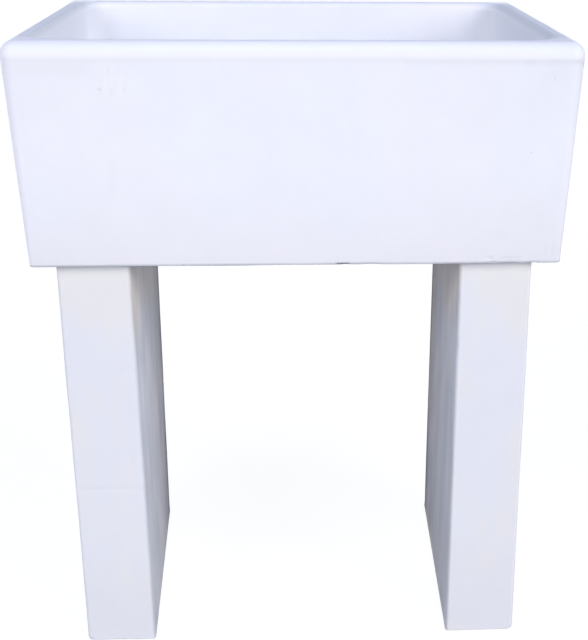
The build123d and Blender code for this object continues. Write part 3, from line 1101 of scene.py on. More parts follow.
        turn = np.linspace(pi / 2, pi - bowl_lean, 12)
        skin.arc(Zone.LIP, lip_middle, lip_level, self.lip, turn, 1.0)

        cove_level = self.floor + self.cove
        cove_middle = bowl.radius(cove_level) - self.cove * bowl.stretch
        wall_foot = cove_level - self.cove * sin(bowl_lean)
        wall_head = lip_level + self.lip * sin(bowl_lean)
        height = between(wall_foot, wall_head, 9.0, (wall_head - 4.0, wall_head, 1.4))[::-1][1:-1]
        skin.add(Zone.BOWL, height, bowl.radius(height), 1.0)

        turn = np.linspace(-bowl_lean, -pi / 2, 12)
        skin.arc(Zone.COVE, cove_middle, cove_level, self.cove, turn, 1.0)

        waste = rounded(
            (self.seat_radius + 3.0, self.fall_foot, 0.0),
            (self.seat_radius, self.fall_foot, 0.9),
            (self.seat_radius, self.seat, 0.4),
            (self.drain_radius, self.seat, 0.8),
            (self.drain_radius, self.rebate, 0.8),
            (self.rebate_radius, self.rebate, 0.8),
            (self.rebate_radius, self.underside, 1.5),
            (self.rebate_radius + 4.0, self.underside, 0.0),
            closed=False,
            steps=3,
        )
        share = between(0.0, 1.0, 0.05, (0.0, 0.06, 0.015), (0.94, 1.0, 0.02))[1:-1]
        skin.add(Zone.FLOOR, np.full(len(share), self.floor), cove_middle, 1.0, share, waste[0, 0])
        skin.add(Zone.SEAT, waste[:, 1], 0.0, 1.0, 1.0, waste[:, 0])

        share = 1.0 - between(0.0, 1.0, 0.07, (0.93, 1.0, 0.02))[1:-1]
        edge = outer.foot_radius - self.arris
        skin.add(Zone.UNDERSIDE, np.full(len(share), self.underside), edge, 0.0, share, waste[-1, 0])
        turn = np.linspace(-pi / 2, -lean, 6)
        skin.arc(Zone.ARRIS, edge, self.underside + self.arris, self.arris, turn)
        return skin

    def fall(self, x: Array, y: Array) -> Array:
        """How high the bowl's floor lies: four slopes that fall to the waste, softly joined.

        Each slope rises by its share of the way from the waste's square to the floor's edge, and
        the higher slope counts; sqrt(d^2 + s^2) in the place of |d| rounds the valley between.

        Args:
            x: places left to right.
            y: places front to back.

        Returns:
            The heights.
        """
        across = (np.abs(x) - self.seat_radius) / (self.bowl.half[0] - self.seat_radius)
        along = (np.abs(y) - self.seat_radius) / (self.bowl.half[1] - self.seat_radius)
        soft = 0.03 * smooth(np.maximum(across, along), 0.0, 0.15)
        rise = 0.5 * (across + along + np.sqrt((across - along) ** 2 + soft**2) - soft)
        return self.fall_foot + (self.floor - self.fall_foot) * np.clip(rise, 0.0, 1.0)

    def grid(self) -> tuple[Array, Array, Array]:
        """Lays the rows out as points.

        Returns:
            The points, each row's zone and the outward normals.
        """
        skin, loop = self.skin(), self.loop()
        height, radius, share, circle, bore, zone = skin.columns()
        outer, bowl = np.array(self.outer.half), np.array(self.bowl.half)
        half = outer + share[:, None] * (bowl - outer)
        points = loop.levels(half, radius, height)
        bearing = loop.angles(self.bowl.half, 130.0)
        ring = bore[:, None, None] * np.stack([np.cos(bearing), np.sin(bearing)], axis=-1)
        blend = circle[:, None, None]
        points[..., :2] = (1.0 - blend) * points[..., :2] + blend * ring
        floor = zone == Zone.FLOOR.value
        points[floor, :, 2] = self.fall(points[floor, :, 0], points[floor, :, 1])
        normals = grid_normals(points)
        facing = (normals[0, :, :2] * loop.normal).sum(axis=-1).mean()
        return points, zone, normals * np.sign(facing)

    def uneven(self, points: Array, zone: Array) -> Array:
        """How far each point lies inside the plain form.

        The walls have gentle hollows. Under the parting line the wall steps back, and the step
        dies away down the wall.

        Args:
            points: the plain form.
            zone: each row's zone.

        Returns:
            Depths, none below 0.
        """
        amount = np.array([ZONE_UNEVENNESS[Zone(int(number))] for number in zone])
        amount = evened(amount, points[:, 0], self.blend_reach)[:, None]
        broad = Ripple(11, 130.0, 420.0).at(points)
        close = Ripple(12, 28.0, 70.0).at(points)
        hollow = amount * (self.unevenness * broad + self.ripple * close)
        x, y, level = axes(points)
        low = within(zone, Zone.FLOOR, Zone.SEAT, Zone.UNDERSIDE)
        hollow *= np.where(low, smooth(np.hypot(x, y), 45.0, 90.0), 1.0)
        below = smooth(-level, -self.parting - 1.8, -self.parting + 1.8)
        step = below * self.parting_step * np.exp((level - self.parting) / 14.0)
        hollow += within(zone, *OUTSIDE) * step
        for dent in self.dents:
            hollow += dent.at(points)
        return hollow

    def foot_lift(self, points: Array, zone: Array) -> Array:
        """How far the casting's lower edge rises, as the mould left it; it fades up the wall."""
        wave = Ripple(21, 70.0, 210.0).at(points * np.array([1.0, 1.0, 0.0]))
        x, y, level = axes(points)
        up_wall = np.exp(-(((level - self.underside) / self.edge_reach) ** 2))
        reach = np.array(self.outer.half) + self.outer.foot_radius
        inset = np.minimum(reach[0] - np.abs(x), reach[1] - np.abs(y))
        under = 1.0 - smooth(inset, 4.0, 0.9 * self.edge_reach)
        low = within(zone, Zone.UNDERSIDE, Zone.ARRIS)
        fade = np.where(low, under, np.where(within(zone, Zone.WALL), up_wall, 0.0))
        return self.edge_wave * wave * fade

    def marks_at(self, points: Array, zone: Array) -> Array:
        """The tone of stains and scuffs, and of painted light and shade, which the stone's finish adds to
        its own.
        """
        marks = self.wall_marks(points, zone) + self.rim_marks(points, zone)
        return marks + self.bowl_marks(points, zone)

    def far_end(self, points: Array) -> Array:
        """Rises from 0 in the middle of the front to 0.65 at its ends."""
        return np.clip(np.abs(points[..., 0]) / (self.length / 2) - 0.35, 0.0, 1.0)

    def far_side(self, points: Array) -> Array:
        """Rises from 0 on the bowl's back wall to 1 on the rim's back run."""
        return smooth(points[..., 1], 0.85 * self.outer.half[1], self.outer.half[1])

    def wall_marks(self, points: Array, zone: Array) -> Array:
        """The tone of the outer walls: marks, painted shade on the front and above the legs, painted light
        on its upright corners, and dirt with painted shade along the foot.
        """
        wear_and_shade, outside = self.wear_and_shade, within(zone, Zone.WALL, Zone.ARRIS)
        x, y, height = axes(points)
        front = (y < -0.9 * self.outer.half[1]) & outside
        level = (height - self.underside) / (self.rim - self.underside)
        tone = sum(stroke.at(points) for stroke in self.marks) * front
        # painted shade at the front's ends and on its lower half
        tone += front * wear_and_shade.ends * self.far_end(points) * (0.4 + np.abs(level - 0.55))
        tone += front * wear_and_shade.low_front_shade * (1.0 - smooth(level, 0.0, 0.5))
        # painted shade just above the legs
        tone += outside * wear_and_shade.contact_shade * np.exp(-level / self.contact_fade)
        # dirt and painted shade along the foot's edge, of uneven strength
        grime = 0.5 + 0.7 * Ripple(22, 30.0, 120.0).at(points * np.array([1.0, 1.0, 0.0]))
        low_edge = 1.0 - smooth(height, self.underside + 1.8, self.underside + 3.9)
        tone += outside * wear_and_shade.foot_grime_and_shade * grime * low_edge
        # painted light on the front's upright corners
        painted_light = np.where(x < 0.0, wear_and_shade.left_corner_light, wear_and_shade.right_corner_light)
        return tone + painted_light * self.front_corner(points, zone)

    def rim_marks(self, points: Array, zone: Array) -> Array:
        """The painted light and shade of bullnose, land and lip, where arc is 1 on the rim's flat top."""
        wear_and_shade, cross, level = self.wear_and_shade, self.cross_rail(points), points[..., 2]
        arc = (level - self.rim + self.bullnose) / self.bullnose
        upper, flat = smooth(arc, 0.3, 0.8), smooth(arc, 0.985, 0.999)
        land = wear_and_shade.land + wear_and_shade.cross_run_light * cross
        nose = wear_and_shade.nose * upper * (1.0 - flat) + land * flat
        nose += wear_and_shade.nose_ends * self.far_end(points) * upper
        nose += wear_and_shade.crest * cross * smooth(arc, 0.82, 0.95)
        lip = wear_and_shade.lip + wear_and_shade.cross_run_lip_light * cross
        lip = lip * smooth(level, self.rim - self.lip, self.rim - 0.3 * self.lip)
        tone = within(zone, Zone.BULLNOSE) * nose
        tone += within(zone, Zone.LAND) * (land + wear_and_shade.far_land * self.far_side(points))
        return tone + within(zone, Zone.LIP) * lip

    def bowl_marks(self, points: Array, zone: Array) -> Array:
        """The tone of the bowl: dirt round the waste, a tide line, painted shade in its corners and painted
        light beside them.
        """
        wear_and_shade, foot = self.wear_and_shade, within(zone, Zone.FLOOR, Zone.COVE)
        x, y, level = axes(points)
        silt = Ripple(31, 25.0, 90.0).at(points)
        beyond = np.hypot(x, y) - self.seat_radius
        tone = wear_and_shade.waste * (1.0 + silt) * np.exp(-(beyond / self.waste_dirt))
        tone += wear_and_shade.silt * silt + wear_and_shade.inside
        tide = np.exp(-(((level - self.tide_level - 6.0 * silt) / self.tide_width) ** 2))
        wall = wear_and_shade.tide * tide + self.bowl_corner(points)
        return foot * tone + within(zone, Zone.BOWL) * wall

    def cross_rail(self, points: Array) -> Array:
        """1 on the rim's front and back runs, which get more painted light, and 0 on its side runs."""
        return smooth(np.abs(points[..., 1]), *self.cross_start)

    def front_corner(self, points: Array, zone: Array) -> Array:
        """How far the front's upright corners have turned; it fades along the sides."""
        x, y, level = axes(points)
        turned_by = (np.abs(x) - self.outer.half[0]) / self.outer.radius(level)
        behind = np.maximum(y + self.outer.half[1], 0.0)
        return within(zone, *OUTSIDE) * np.clip(turned_by, 0.0, 1.0) * np.exp(-behind / 40.0)

    def bowl_corner(self, points: Array) -> Array:
        """The painted shade in the bowl's upright corners, and the painted light on the back wall beside
        them.

        A corner's share is the product of how far it has turned from either wall.
        """
        x, y, level = axes(points)
        radius = self.bowl.radius(level)
        across = np.clip((np.abs(x) - self.bowl.half[0]) / radius, 0.0, 1.0)
        along = np.clip((np.abs(y) - self.bowl.half[1]) / radius, 0.0, 1.0)
        # painted shade in the corners, and painted light on the back wall beside them
        corner_shade = np.where(x < 0.0, self.wear_and_shade.left_bowl_shade, self.wear_and_shade.right_bowl_shade)
        beside = np.exp(-(((np.abs(x) - self.light_strip_place) / self.light_strip_width) ** 2))
        beside = beside * smooth(self.rim - level, 15.0, 60.0)
        painted_light = self.wear_and_shade.beside_corner_light * beside * (y > 0.0) * (1.0 - across)
        return painted_light + corner_shade * across * along

    def hue_at(self, points: Array, zone: Array) -> Array:
        """Where the stone looks cooler, below 0, or warmer.

        Outside it is cool on the rim, and warm on the rim's crest, just under the rim, at the
        foot and on the front's corners. Inside it is cool but for the back and the front run.
        The cool on the rim and inside is a painted tint of blue light from above.
        """
        hue, level, cross = self.hue, points[..., 2], self.cross_rail(points)
        rim = smooth(level, self.rim - 15.0, self.rim - 9.0)
        under = smooth(level, self.rim - 26.0, self.rim - 20.0) * (1.0 - rim)
        foot = 1.0 - smooth(level, self.underside, self.underside + self.foot_warmth)
        crest = cross * smooth(level, self.rim - 3.2, self.rim - 0.9)
        outer = hue.under_rim * under + hue.rim * rim + hue.foot * foot
        outer = outer + hue.front_corner * self.front_corner(points, zone) + hue.crest * crest
        front_run = within(zone, Zone.LAND, Zone.LIP) * cross * (points[..., 1] < 0.0)
        inner = hue.far_side * self.far_side(points) + hue.front_run * front_run + hue.inside
        return np.where(within(zone, *OUTSIDE), outer, inner)

    def build(self) -> None:
        """Makes the casting as one grid that closes both round the plan and through the waste."""
        points, zone, normals = self.grid()
        paint = {
            "mark": self.marks_at(points, zone),
            "edge": within(zone, Zone.BULLNOSE, Zone.LIP, Zone.ARRIS),
            "hue": self.hue_at(points, zone),
            "raw_and_shade": np.zeros(1),
        }
        lift = self.foot_lift(points, zone)
        points = points - normals * self.uneven(points, zone)[..., None]
        points[..., 2] = np.minimum(points[..., 2] + lift, self.rim)
        mesh = Shell().add(points, rows_close=True, **paint).mesh("trough_casting", CREASE)
        place_piece(mesh, Body.TROUGH, Slot.TROUGH_STONE, TROUGH_STONE, "basin")


# ---------------------------------------------------------------- the legs


@dataclass(frozen=True)
class Stance:
    """How one cast slab differs: how far outwards three of its edges stand, its painted shade and its tints.

    Each pair holds the distance at the leg's head and at its foot.
    """

    outer_front: tuple[float, float]
    inner_front: tuple[float, float]
    inner_back: tuple[float, float]
    inner_shade: float  # painted shade added to the inner face's tone
    head_hue: float  # added to the hue at the head: partly a stain, partly a painted warm tint of the shaded light under the trough


STANCES: Mapping[Side, Stance] = {
    Side.LEFT: Stance((-0.1, -1.8), (-0.1, -4.4), (5.4, 7.9), inner_shade=0.0, head_hue=0.42),
    Side.RIGHT: Stance((-4.0, 2.0), (-5.4, -3.2), (7.1, 7.6), inner_shade=-0.07, head_hue=0.25),
}


@dataclass(frozen=True)
class LegWearAndShade:
    """How painted light and shade, and the stone's own mottling, change a leg's tone: 0.1 makes it a tenth
    lighter.
    """

    floor_shade: float = -0.02  # painted shade at the foot, all round
    outer_arris_light: float = 0.09  # painted light on the front's outer edge
    front_rise: float = 0.05  # painted light and shade on the front, over its whole height: lighter towards the head, darker towards the foot
    # more painted shade low on the front
    front_foot: float = -0.035
    front_head_shadow: float = -0.12  # painted shadow right under the trough
    inner: float = 0.04  # all over the inner face, which the lines below are about too
    deep: float = -0.06  # painted shade towards its back
    # painted shade beside its back edge
    back_edge_shade: float = -0.30
    head: float = -0.12  # painted shadow right under the trough
    # painted shade towards the foot
    foot: float = -0.14
    near_front_light: float = 0.07  # painted light low on its front half
    # painted light high on its back half
    high_back_light: float = 0.05
    mottle: float = 0.12


@dataclass(frozen=True)
class Facing:
    """Where the points of a leg lie, and which way they look."""

    rise: Array  # 0 at the foot and 1 at the head
    depth: Array  # 0 at the front and 1 at the back
    front: Array  # true on the front face
    inner: Array  # 1 on the inner face
    sides: Array  # 1 on the inner and on the outer face
    outer_arris_light: Array  # 1 in the middle of the front's outer edge, where painted light goes
    wall: Array  # 1 on the upright faces; it fades towards head and foot


@dataclass
class SlabLeg:
    """A solid cast slab on its edge, with worn arrises and the grain of its mould's boards.

    Its methods take the upright leg's points (rows, stations, 3) and which way they face.
    """

    side: Side
    width: float = 94.0
    length: float = 370.0
    height: float = 570.0
    middle_x: float = 260.855
    middle_y: float = -37.855
    arris: float = 4.5
    end_round: float = 2.6
    unevenness: float = 0.45
    ripple: float = 0.1  # the depth of the shorter hollows
    grain: float = 0.3  # the depth that the mould's boards left
    pour_line: float = 246.4
    pour_depth: float = 0.25
    wear_and_shade: LegWearAndShade = LegWearAndShade()

    def dents(self) -> tuple[Dent, ...]:
        """Knocks on the edges and a few blow holes, for each leg its own."""
        front, back = self.middle_y - self.length / 2, self.middle_y + self.length / 2
        sign = self.side.value
        outer = sign * (self.middle_x + self.width / 2)
        inner = sign * (self.middle_x - self.width / 2)
        shared = (
            Dent((outer, front, 2.0), 9.0, 2.2, (1.0, 1.0, 0.7)),
            Dent((outer, back, 1.0), 8.0, 2.0, (1.0, 1.0, 1.2)),
            Dent((inner, back, 190.0), 5.0, 1.2, (1.0, 1.0, 2.0)),
        )
        if self.side is Side.LEFT:
            return shared + (
                Dent((inner, front, 236.0), 4.0, 0.9, (1.0, 1.0, 1.6)),
                Dent((-262.0, front, 1.0), 8.0, 0.8, (2.0, 1.0, 0.4)),
                Dent((-289.0, front, 348.0), 2.0, 0.6),
                Dent((inner, -10.0, 330.0), 2.4, 0.6),
            )
        return shared + (
            Dent((inner, front, 452.0), 5.0, 1.1, (1.0, 1.0, 1.8)),
            Dent((inner, front, 520.0), 4.0, 0.8, (1.0, 1.0, 3.0)),
            Dent((outer, front, 300.0), 5.0, 0.8, (1.0, 1.0, 3.0)),
            Dent((inner, -90.0, 118.0), 2.4, 0.6),
        )

    def marks(self) -> tuple[Stroke, ...]:
        """Lines on the front face: the pour line and a scratch, or a painted highlight along the edge."""
        if self.side is Side.LEFT:
            return (
                Stroke((-298.0, 249.0), (-217.0, 247.2), 2.6, -0.016),
                Stroke((-298.0, 243.4), (-217.0, 241.6), 2.2, 0.012),
                Stroke((-228.2, 295.4), (-226.4, 289.6), 1.2, -0.06),
                Stroke((-229.0, 434.0), (-228.4, 428.0), 1.2, -0.04),
            )
        return (
            # a painted highlight along the inner front edge
            Stroke((215.6, 564.0), (215.8, 472.0), 1.6, 0.045),
            Stroke((216.0, 454.0), (216.2, 450.0), 1.8, 0.05),
            Stroke((215.8, 432.0), (215.8, 362.0), 1.3, 0.022),
        )

    def stood(self, points: Array) -> Array:
        """Moves the true slab's points sideways into its stance; every level stays level.

        The way outwards is that of the inner front edge, plus the share across times what the
        outer front edge has more, plus the share from front to back times what the inner back
        edge has more. Each of the three runs straight from its head to its foot.

        Args:
            points: the upright leg.

        Returns:
            The points as the leg stands.
        """
        stance, sign = STANCES[self.side], self.side.value
        x, y, level = axes(points)
        across = (sign * x - self.middle_x) / self.width + 0.5
        back = (y - self.middle_y) / self.length + 0.5
        drop = 1.0 - level / self.height
        edges = (stance.outer_front, stance.inner_front, stance.inner_back)
        outer, inner, rear = [head + (foot - head) * drop for head, foot in edges]
        stood = points.copy()
        stood[..., 0] += sign * (inner + across * (outer - inner) + back * (rear - inner))
        return stood

    def stations(self, reach: float, step: float, near: float) -> Array:
        """Stations along a face.

        Args:
            reach: the face's half length.
            step: the widest spacing.
            near: the spacing beside the arrises.

        Returns:
            The stations from -1 to 1.
        """
        band = 6.0
        fine = [(start, start + band, near) for start in (-reach, reach - band)]
        return between(-reach, reach, step, *fine) / reach

    def levels(self) -> tuple[Array, Array, Array]:
        """How the rows are laid out, from the middle of the foot to the middle of the head.

        Each end face draws in to a point, and a quarter circle rounds its edge.

        Returns:
            The share of the plan's half lengths, the corner radius and the height of each row.
        """
        fine = [(0.0, 16.0, 1.6), (self.height - 8.0, self.height, 1.6)]
        fine += [(239.0, 253.0, 1.4), (446.0, 460.0, 2.0)]
        level = between(self.end_round * 1.4, self.height - self.end_round * 1.4, 8.0, *fine)
        turn = np.linspace(-pi / 2, 0.0, 6)
        foot = self.end_round * (1.0 + np.sin(turn))
        inset = self.arris - self.end_round * (1.0 - np.cos(turn))
        cap = np.array([0.0, 0.2, 0.4, 0.6, 0.8, 0.93, 0.985])
        share = np.concatenate([cap, np.ones(len(foot) * 2 + len(level)), cap[::-1]])
        end = np.concatenate([cap * inset[0], inset])
        radius = np.concatenate([end, np.full(len(level), self.arris), end[::-1]])
        flat = np.zeros(len(cap))
        height = np.concatenate([flat, foot, level, self.height - foot[::-1], flat + self.height])
        return share, radius, height

    def facing(self, points: Array, loop: PlanLoop, whole: Array) -> Facing:
        """Works out where the points lie.

        Args:
            points: the upright leg.
            loop: its stations.
            whole: which rows are at their full size.

        Returns:
            Their places and the ways they look.
        """
        up, outward = points[..., 2], self.side.value * loop.normal[:, 0]
        corner = 2.0 * np.clip(outward, 0.0, 1.0) * np.clip(-loop.normal[:, 1], 0.0, 1.0)
        return Facing(
            rise=up / self.height,
            depth=(points[..., 1] - self.middle_y) / self.length + 0.5,
            front=(loop.normal[:, 1] < -0.3)[None, :],
            inner=np.clip(-outward, 0.0, 1.0)[None, :],
            sides=np.abs(outward)[None, :],
            outer_arris_light=corner[None, :],
            wall=whole[:, None] * smooth(up, 0.0, 14.0) * smooth(self.height - up, 0.0, 14.0),
        )

    def hollow(self, points: Array, face: Facing) -> Array:
        """How far each point lies inside the plain slab: hollows, grain, pour line and knocks."""
        up, number = points[..., 2], self.side.value
        hollow = face.wall * (self.unevenness * Ripple(41 + number, 90.0, 300.0).at(points))
        hollow += face.wall * self.ripple * Ripple(51 + number, 20.0, 60.0).at(points)
        boards = Ripple(61 + number, 9.0, 26.0).at(points * np.array([0.0, 1.0, 0.10]))
        hollow += face.wall * face.sides * self.grain * boards
        if self.side is Side.LEFT:
            hollow += face.wall * self.pour_depth * np.exp(-(((up - self.pour_line) / 2.2) ** 2))
        for dent in self.dents():
            hollow += dent.at(points)
        return hollow

    def marks_at(self, points: Array, face: Facing) -> Array:
        """The tone of marks, and of painted light and shade, on the front face, on the inner face and all
        round.
        """
        wear_and_shade, rise, depth = self.wear_and_shade, face.rise, face.depth
        front = sum(stroke.at(points) for stroke in self.marks())
        # painted light and shade on the front, and a painted shadow right under the trough
        front += wear_and_shade.front_rise * (rise - 0.6) + wear_and_shade.front_head_shadow * smooth(rise, 0.985, 1.0)
        front += wear_and_shade.front_foot * (1.0 - smooth(rise, 0.05, 0.4))
        near_front_light = (1.0 - smooth(depth, 0.0, 0.32)) * (1.0 - smooth(rise, 0.72, 0.96))
        high_back_light = smooth(depth, 0.4, 0.8) * smooth(rise, 0.6, 0.85)
        mottle = Ripple(71 + self.side.value, 30.0, 90.0).at(points * np.array([0.0, 1.0, 0.5]))
        # the inner face: the stone's mottling, painted shade on the right leg, towards the back, beside the
        # back edge, under the trough and towards the foot, and painted light low at the front and high at
        # the back
        inner = wear_and_shade.inner + STANCES[self.side].inner_shade + wear_and_shade.mottle * (mottle - 0.5)
        inner += wear_and_shade.deep * smooth(depth, 0.3, 0.9) + wear_and_shade.back_edge_shade * smooth(depth, 0.86, 1.0)
        inner += wear_and_shade.head * smooth(rise, 0.93, 1.0) + wear_and_shade.foot * (1.0 - rise)
        inner += wear_and_shade.near_front_light * near_front_light + wear_and_shade.high_back_light * high_back_light
        # painted shade near the floor, and painted light on the front's outer edge
        round_about = wear_and_shade.floor_shade * np.exp(-points[..., 2] / 60.0) + wear_and_shade.outer_arris_light * face.outer_arris_light
        return face.front * front + face.inner * inner + round_about

    def hue_at(self, face: Facing) -> Array:
        """Cool, below 0, but for the head and the inner face's upper back, which are warm: partly a stain at
        the head, and partly a painted warm tint of the shaded light under the trough.
        """
        rise, depth = face.rise, face.depth
        inner = 0.22 * (depth - 0.45) + 0.15 * smooth(rise, 0.72, 0.9)
        inner += 0.2 * smooth(depth, 0.6, 0.95) * smooth(rise, 0.55, 0.85)
        return STANCES[self.side].head_hue * smooth(rise, 0.74, 1.0) - 0.10 + face.inner * inner

    def raw_at(self, face: Facing) -> Array:
        """How raw the stone is: little on the outer face, and more on the inner one to its back, where its
        darkness is partly raw stone and partly painted shade.
        """
        return face.inner * (0.62 + 0.16 * face.depth) + 0.15 * (face.sides - face.inner)

    def build(self) -> None:
        """Stacks levels of one rounded rectangle, wears them and moves them into the stance."""
        half = np.array([self.width / 2 - self.arris, self.length / 2 - self.arris])
        short = self.stations(half[0], 4.5, 1.5)
        loop = PlanLoop.build(short, short, self.stations(half[1], 6.0, 2.0), 8)
        share, radius, height = self.levels()
        points = loop.levels(share[:, None] * half, radius, height)
        points[..., 0] += self.side.value * self.middle_x
        points[..., 1] += self.middle_y
        normals = grid_normals(points)
        normals *= np.sign((normals[len(share) // 2, :, :2] * loop.normal).sum())
        face = self.facing(points, loop, share == 1.0)
        curved = (loop.edge[:, 0] ** 2 == 1.0) & (loop.edge[:, 1] ** 2 == 1.0)
        paint = {
            "mark": self.marks_at(points, face),
            "edge": np.maximum(curved[None, :], (radius < self.arris)[:, None]) * face.wall,
            "hue": self.hue_at(face),
            "raw_and_shade": self.raw_at(face),
        }
        points = self.stood(points - normals * self.hollow(points, face)[..., None])
        node = f"leg_{self.side.name.lower()}"
        mesh = Shell().add(points, **paint).mesh(f"slab_{node}", CREASE)
        place_piece(mesh, Body.TROUGH, Slot.LEG_STONE, LEG_STONE, node)


# ---------------------------------------------------------------- the waste


@dataclass
class Waste:
    """The two-piece waste: pressed strainer, seals, clamping screw and nut, and threaded body."""

    crease: float = 38.0  # an edge of the moulding that turns further, in degrees, is sharp
    sheet: float = 1.2
    flange_top: float = 603.2
    flange_radius: float = 35.0
    flange_roll: float = 1.4
    throat_radius: float = 23.0
    throat_taper: float = 6.0  # degrees
    cup_floor: float = 587.2
    floor_edge: float = 18.6
    hole_circle: float = 13.5
    hole_radius: float = 3.6
    holes: int = 8
    hole_break: float = 0.25
    screw_hole: float = 3.3
    body_top: float = 577.0
    body_flange: float = 38.0
    funnel_top: float = 572.0
    tail_top: float = 556.0
    tail_end: float = 522.0
    tail_radius: float = 23.9
    tail_bore: float = 20.7
    mouth: float = 27.8
    wall: float = 3.2
    thread_pitch: float = 2.309
    thread_depth: float = 1.479
    thread_runout: float = 3.0
    thread_square: float = 0.75  # the power that flattens its crests
    hub_radius: float = 8.0
    hub_foot: float = 562.0
    nut_top: float = 571.0
    nut_height: float = 5.0
    nut_flats: float = 10.0
    pocket_flats: float = 10.2
    spoke_thickness: float = 3.0
    spoke_height: float = 9.0
    spokes: int = 3
    spoke_start: float = 90.0  # degrees

    def sector(self, level: float, rim: float) -> Array:
        """One share of the cup's floor round its hole.

        The rows run from the hole's circle to the sector's border, in straight lines between
        points with the same number; the border goes out, round, in and back.

        Args:
            level: the height of the face.
            rim: how far the row at the hole lies from that height.

        Returns:
            Points (rows, stations, 3) of the sector at angle 0.
        """
        reach, arc, spoke = pi / self.holes, 12, 9
        sweep = np.linspace(-reach, reach, arc + 1)[:-1]
        out = np.linspace(self.screw_hole, self.floor_edge, spoke + 1)[:-1]
        back = np.linspace(self.floor_edge, self.screw_hole, spoke + 1)[:-1]
        radius = np.concatenate([out, np.full(arc, self.floor_edge), back, np.full(arc, self.screw_hole)])
        angle = np.concatenate([np.full(spoke, -reach), sweep, np.full(spoke, reach), -sweep])
        border = np.stack([radius * np.cos(angle), radius * np.sin(angle)], axis=-1)
        middle = np.array([self.hole_circle, 0.0])
        bearing = np.unwrap(np.arctan2(*(border - middle).T[::-1]))
        even = bearing[0] + np.arange(len(bearing)) * (2.0 * pi / len(bearing))
        turn = 0.5 * (bearing + even)
        circle = np.stack([np.cos(turn), np.sin(turn)], axis=-1)
        share = np.array([0.0, 0.0, 0.08, 0.3, 0.65, 1.0])[:, None, None]
        size = np.full(6, self.hole_radius + self.hole_break)
        size[0] = self.hole_radius
        hole = middle + size[:, None, None] * circle
        plan = hole + share * (border - hole)
        height = np.full(plan.shape[:2], level)
        height[0] = level + rim
        return np.concatenate([plan, height[..., None]], axis=2)

    def strainer(self) -> None:
        """The pressed cup: a turned skin round the outside, and eight sectors each way for its floor."""
        lean = tan(radians(self.throat_taper))
        under = self.flange_top - self.sheet
        floor_under = self.cup_floor - self.sheet
        foot = self.throat_radius - (self.flange_top - self.cup_floor) * lean
        gap = self.sheet / cos(radians(self.throat_taper))
        profile = rounded(
            (self.floor_edge, self.cup_floor, 0.0),
            (foot, self.cup_floor, 2.2),
            (self.throat_radius, self.flange_top - 0.3, 2.4),
            (30.4, self.flange_top, 3.0),
            (self.flange_radius, self.flange_top - 0.1, 1.3),
            (self.flange_radius, under - self.flange_roll, 0.35),
            (self.flange_radius - self.sheet, under - self.flange_roll, 0.35),
            (self.flange_radius - self.sheet, under, 0.4),
            (self.throat_radius + gap, under, 1.3),
            (foot + gap - self.sheet * lean, floor_under, 3.2),
            (self.floor_edge, floor_under, 0.0),
            closed=False,
            steps=5,
        )
        shell = Shell().add(turned(profile, 12 * self.holes))
        top = self.sector(self.cup_floor, -self.hole_break)
        bottom = self.sector(floor_under, self.hole_break)
        tube = np.stack([top[0], bottom[0]])
        for number in range(self.holes):
            angle = 2.0 * pi * number / self.holes
            shell.add(spun(top, angle), flip=True)
            shell.add(spun(bottom, angle))
            shell.add(spun(tube, angle))
        bore = np.array([(self.screw_hole, self.cup_floor), (self.screw_hole, floor_under)])
        shell.add(spun(turned(bore, 12 * self.holes), -pi / self.holes), flip=True)
        mesh = shell.mesh("strainer_cup", 50.0)
        place_piece(mesh, Body.TROUGH, Slot.STAINLESS, STAINLESS, "strainer")

    def thread(self, stations: int) -> Array:
        """The tail's outside as a helical ridge.

        The radius drops below the crest by depth * (1 - c) / 2, where c is the cosine of the
        turn plus height / pitch, raised to a power that flattens the crests as on a round-topped
        pipe thread, and the depth fades out at both ends.

        Args:
            stations: how many places round the axis.

        Returns:
            (rows, stations, 2) of radius and height.
        """
        low, high = self.tail_end + 1.6, self.tail_top - 2.2
        height = np.arange(high, low, -self.thread_pitch / 11.0)[:, None] + np.zeros(stations)
        phase = 2.0 * pi * height / self.thread_pitch - station_angles(stations)
        fade = smooth(high - height, 0.0, self.thread_runout) * smooth(height - low, 0.0, 1.0)
        drop = 0.5 * (1.0 - squared(np.cos(phase), self.thread_square))
        radius = self.tail_radius - self.thread_depth * fade * drop
        return np.stack([radius, height], axis=-1)

    def housing(self) -> bpy.types.Mesh:
        """The body without its hub: flange, funnel and tail, inside and outside."""
        stations = 144
        head = rounded(
            (self.tail_bore, self.tail_top - 1.0, 2.0),
            (self.mouth, self.funnel_top, 2.0),
            (self.mouth, self.body_top, 0.5),
            (self.body_flange, self.body_top, 0.8),
            (self.body_flange, self.funnel_top, 0.8),
            (self.mouth + self.wall, self.funnel_top, 1.4),
            (self.tail_radius, self.tail_top, 2.4),
            (self.tail_radius, self.tail_top - 1.9, 0.0),
            (self.tail_bore, self.tail_top - 12.0, 0.0),
            closed=False,
        )[:-1]
        end = rounded(
            (self.tail_radius, self.tail_end + 1.5, 0.0),
            (self.tail_radius, self.tail_end + 1.0, 0.3),
            (self.tail_radius - 1.0, self.tail_end, 0.3),
            (self.tail_bore, self.tail_end, 0.5),
            (self.tail_bore, self.tail_top - 3.0, 0.0),
            closed=False,
        )
        rows = [turned(head, stations), turned(self.thread(stations), stations), turned(end, stations)]
        return Shell().add(np.concatenate(rows), rows_close=True).mesh("waste_housing", self.crease)

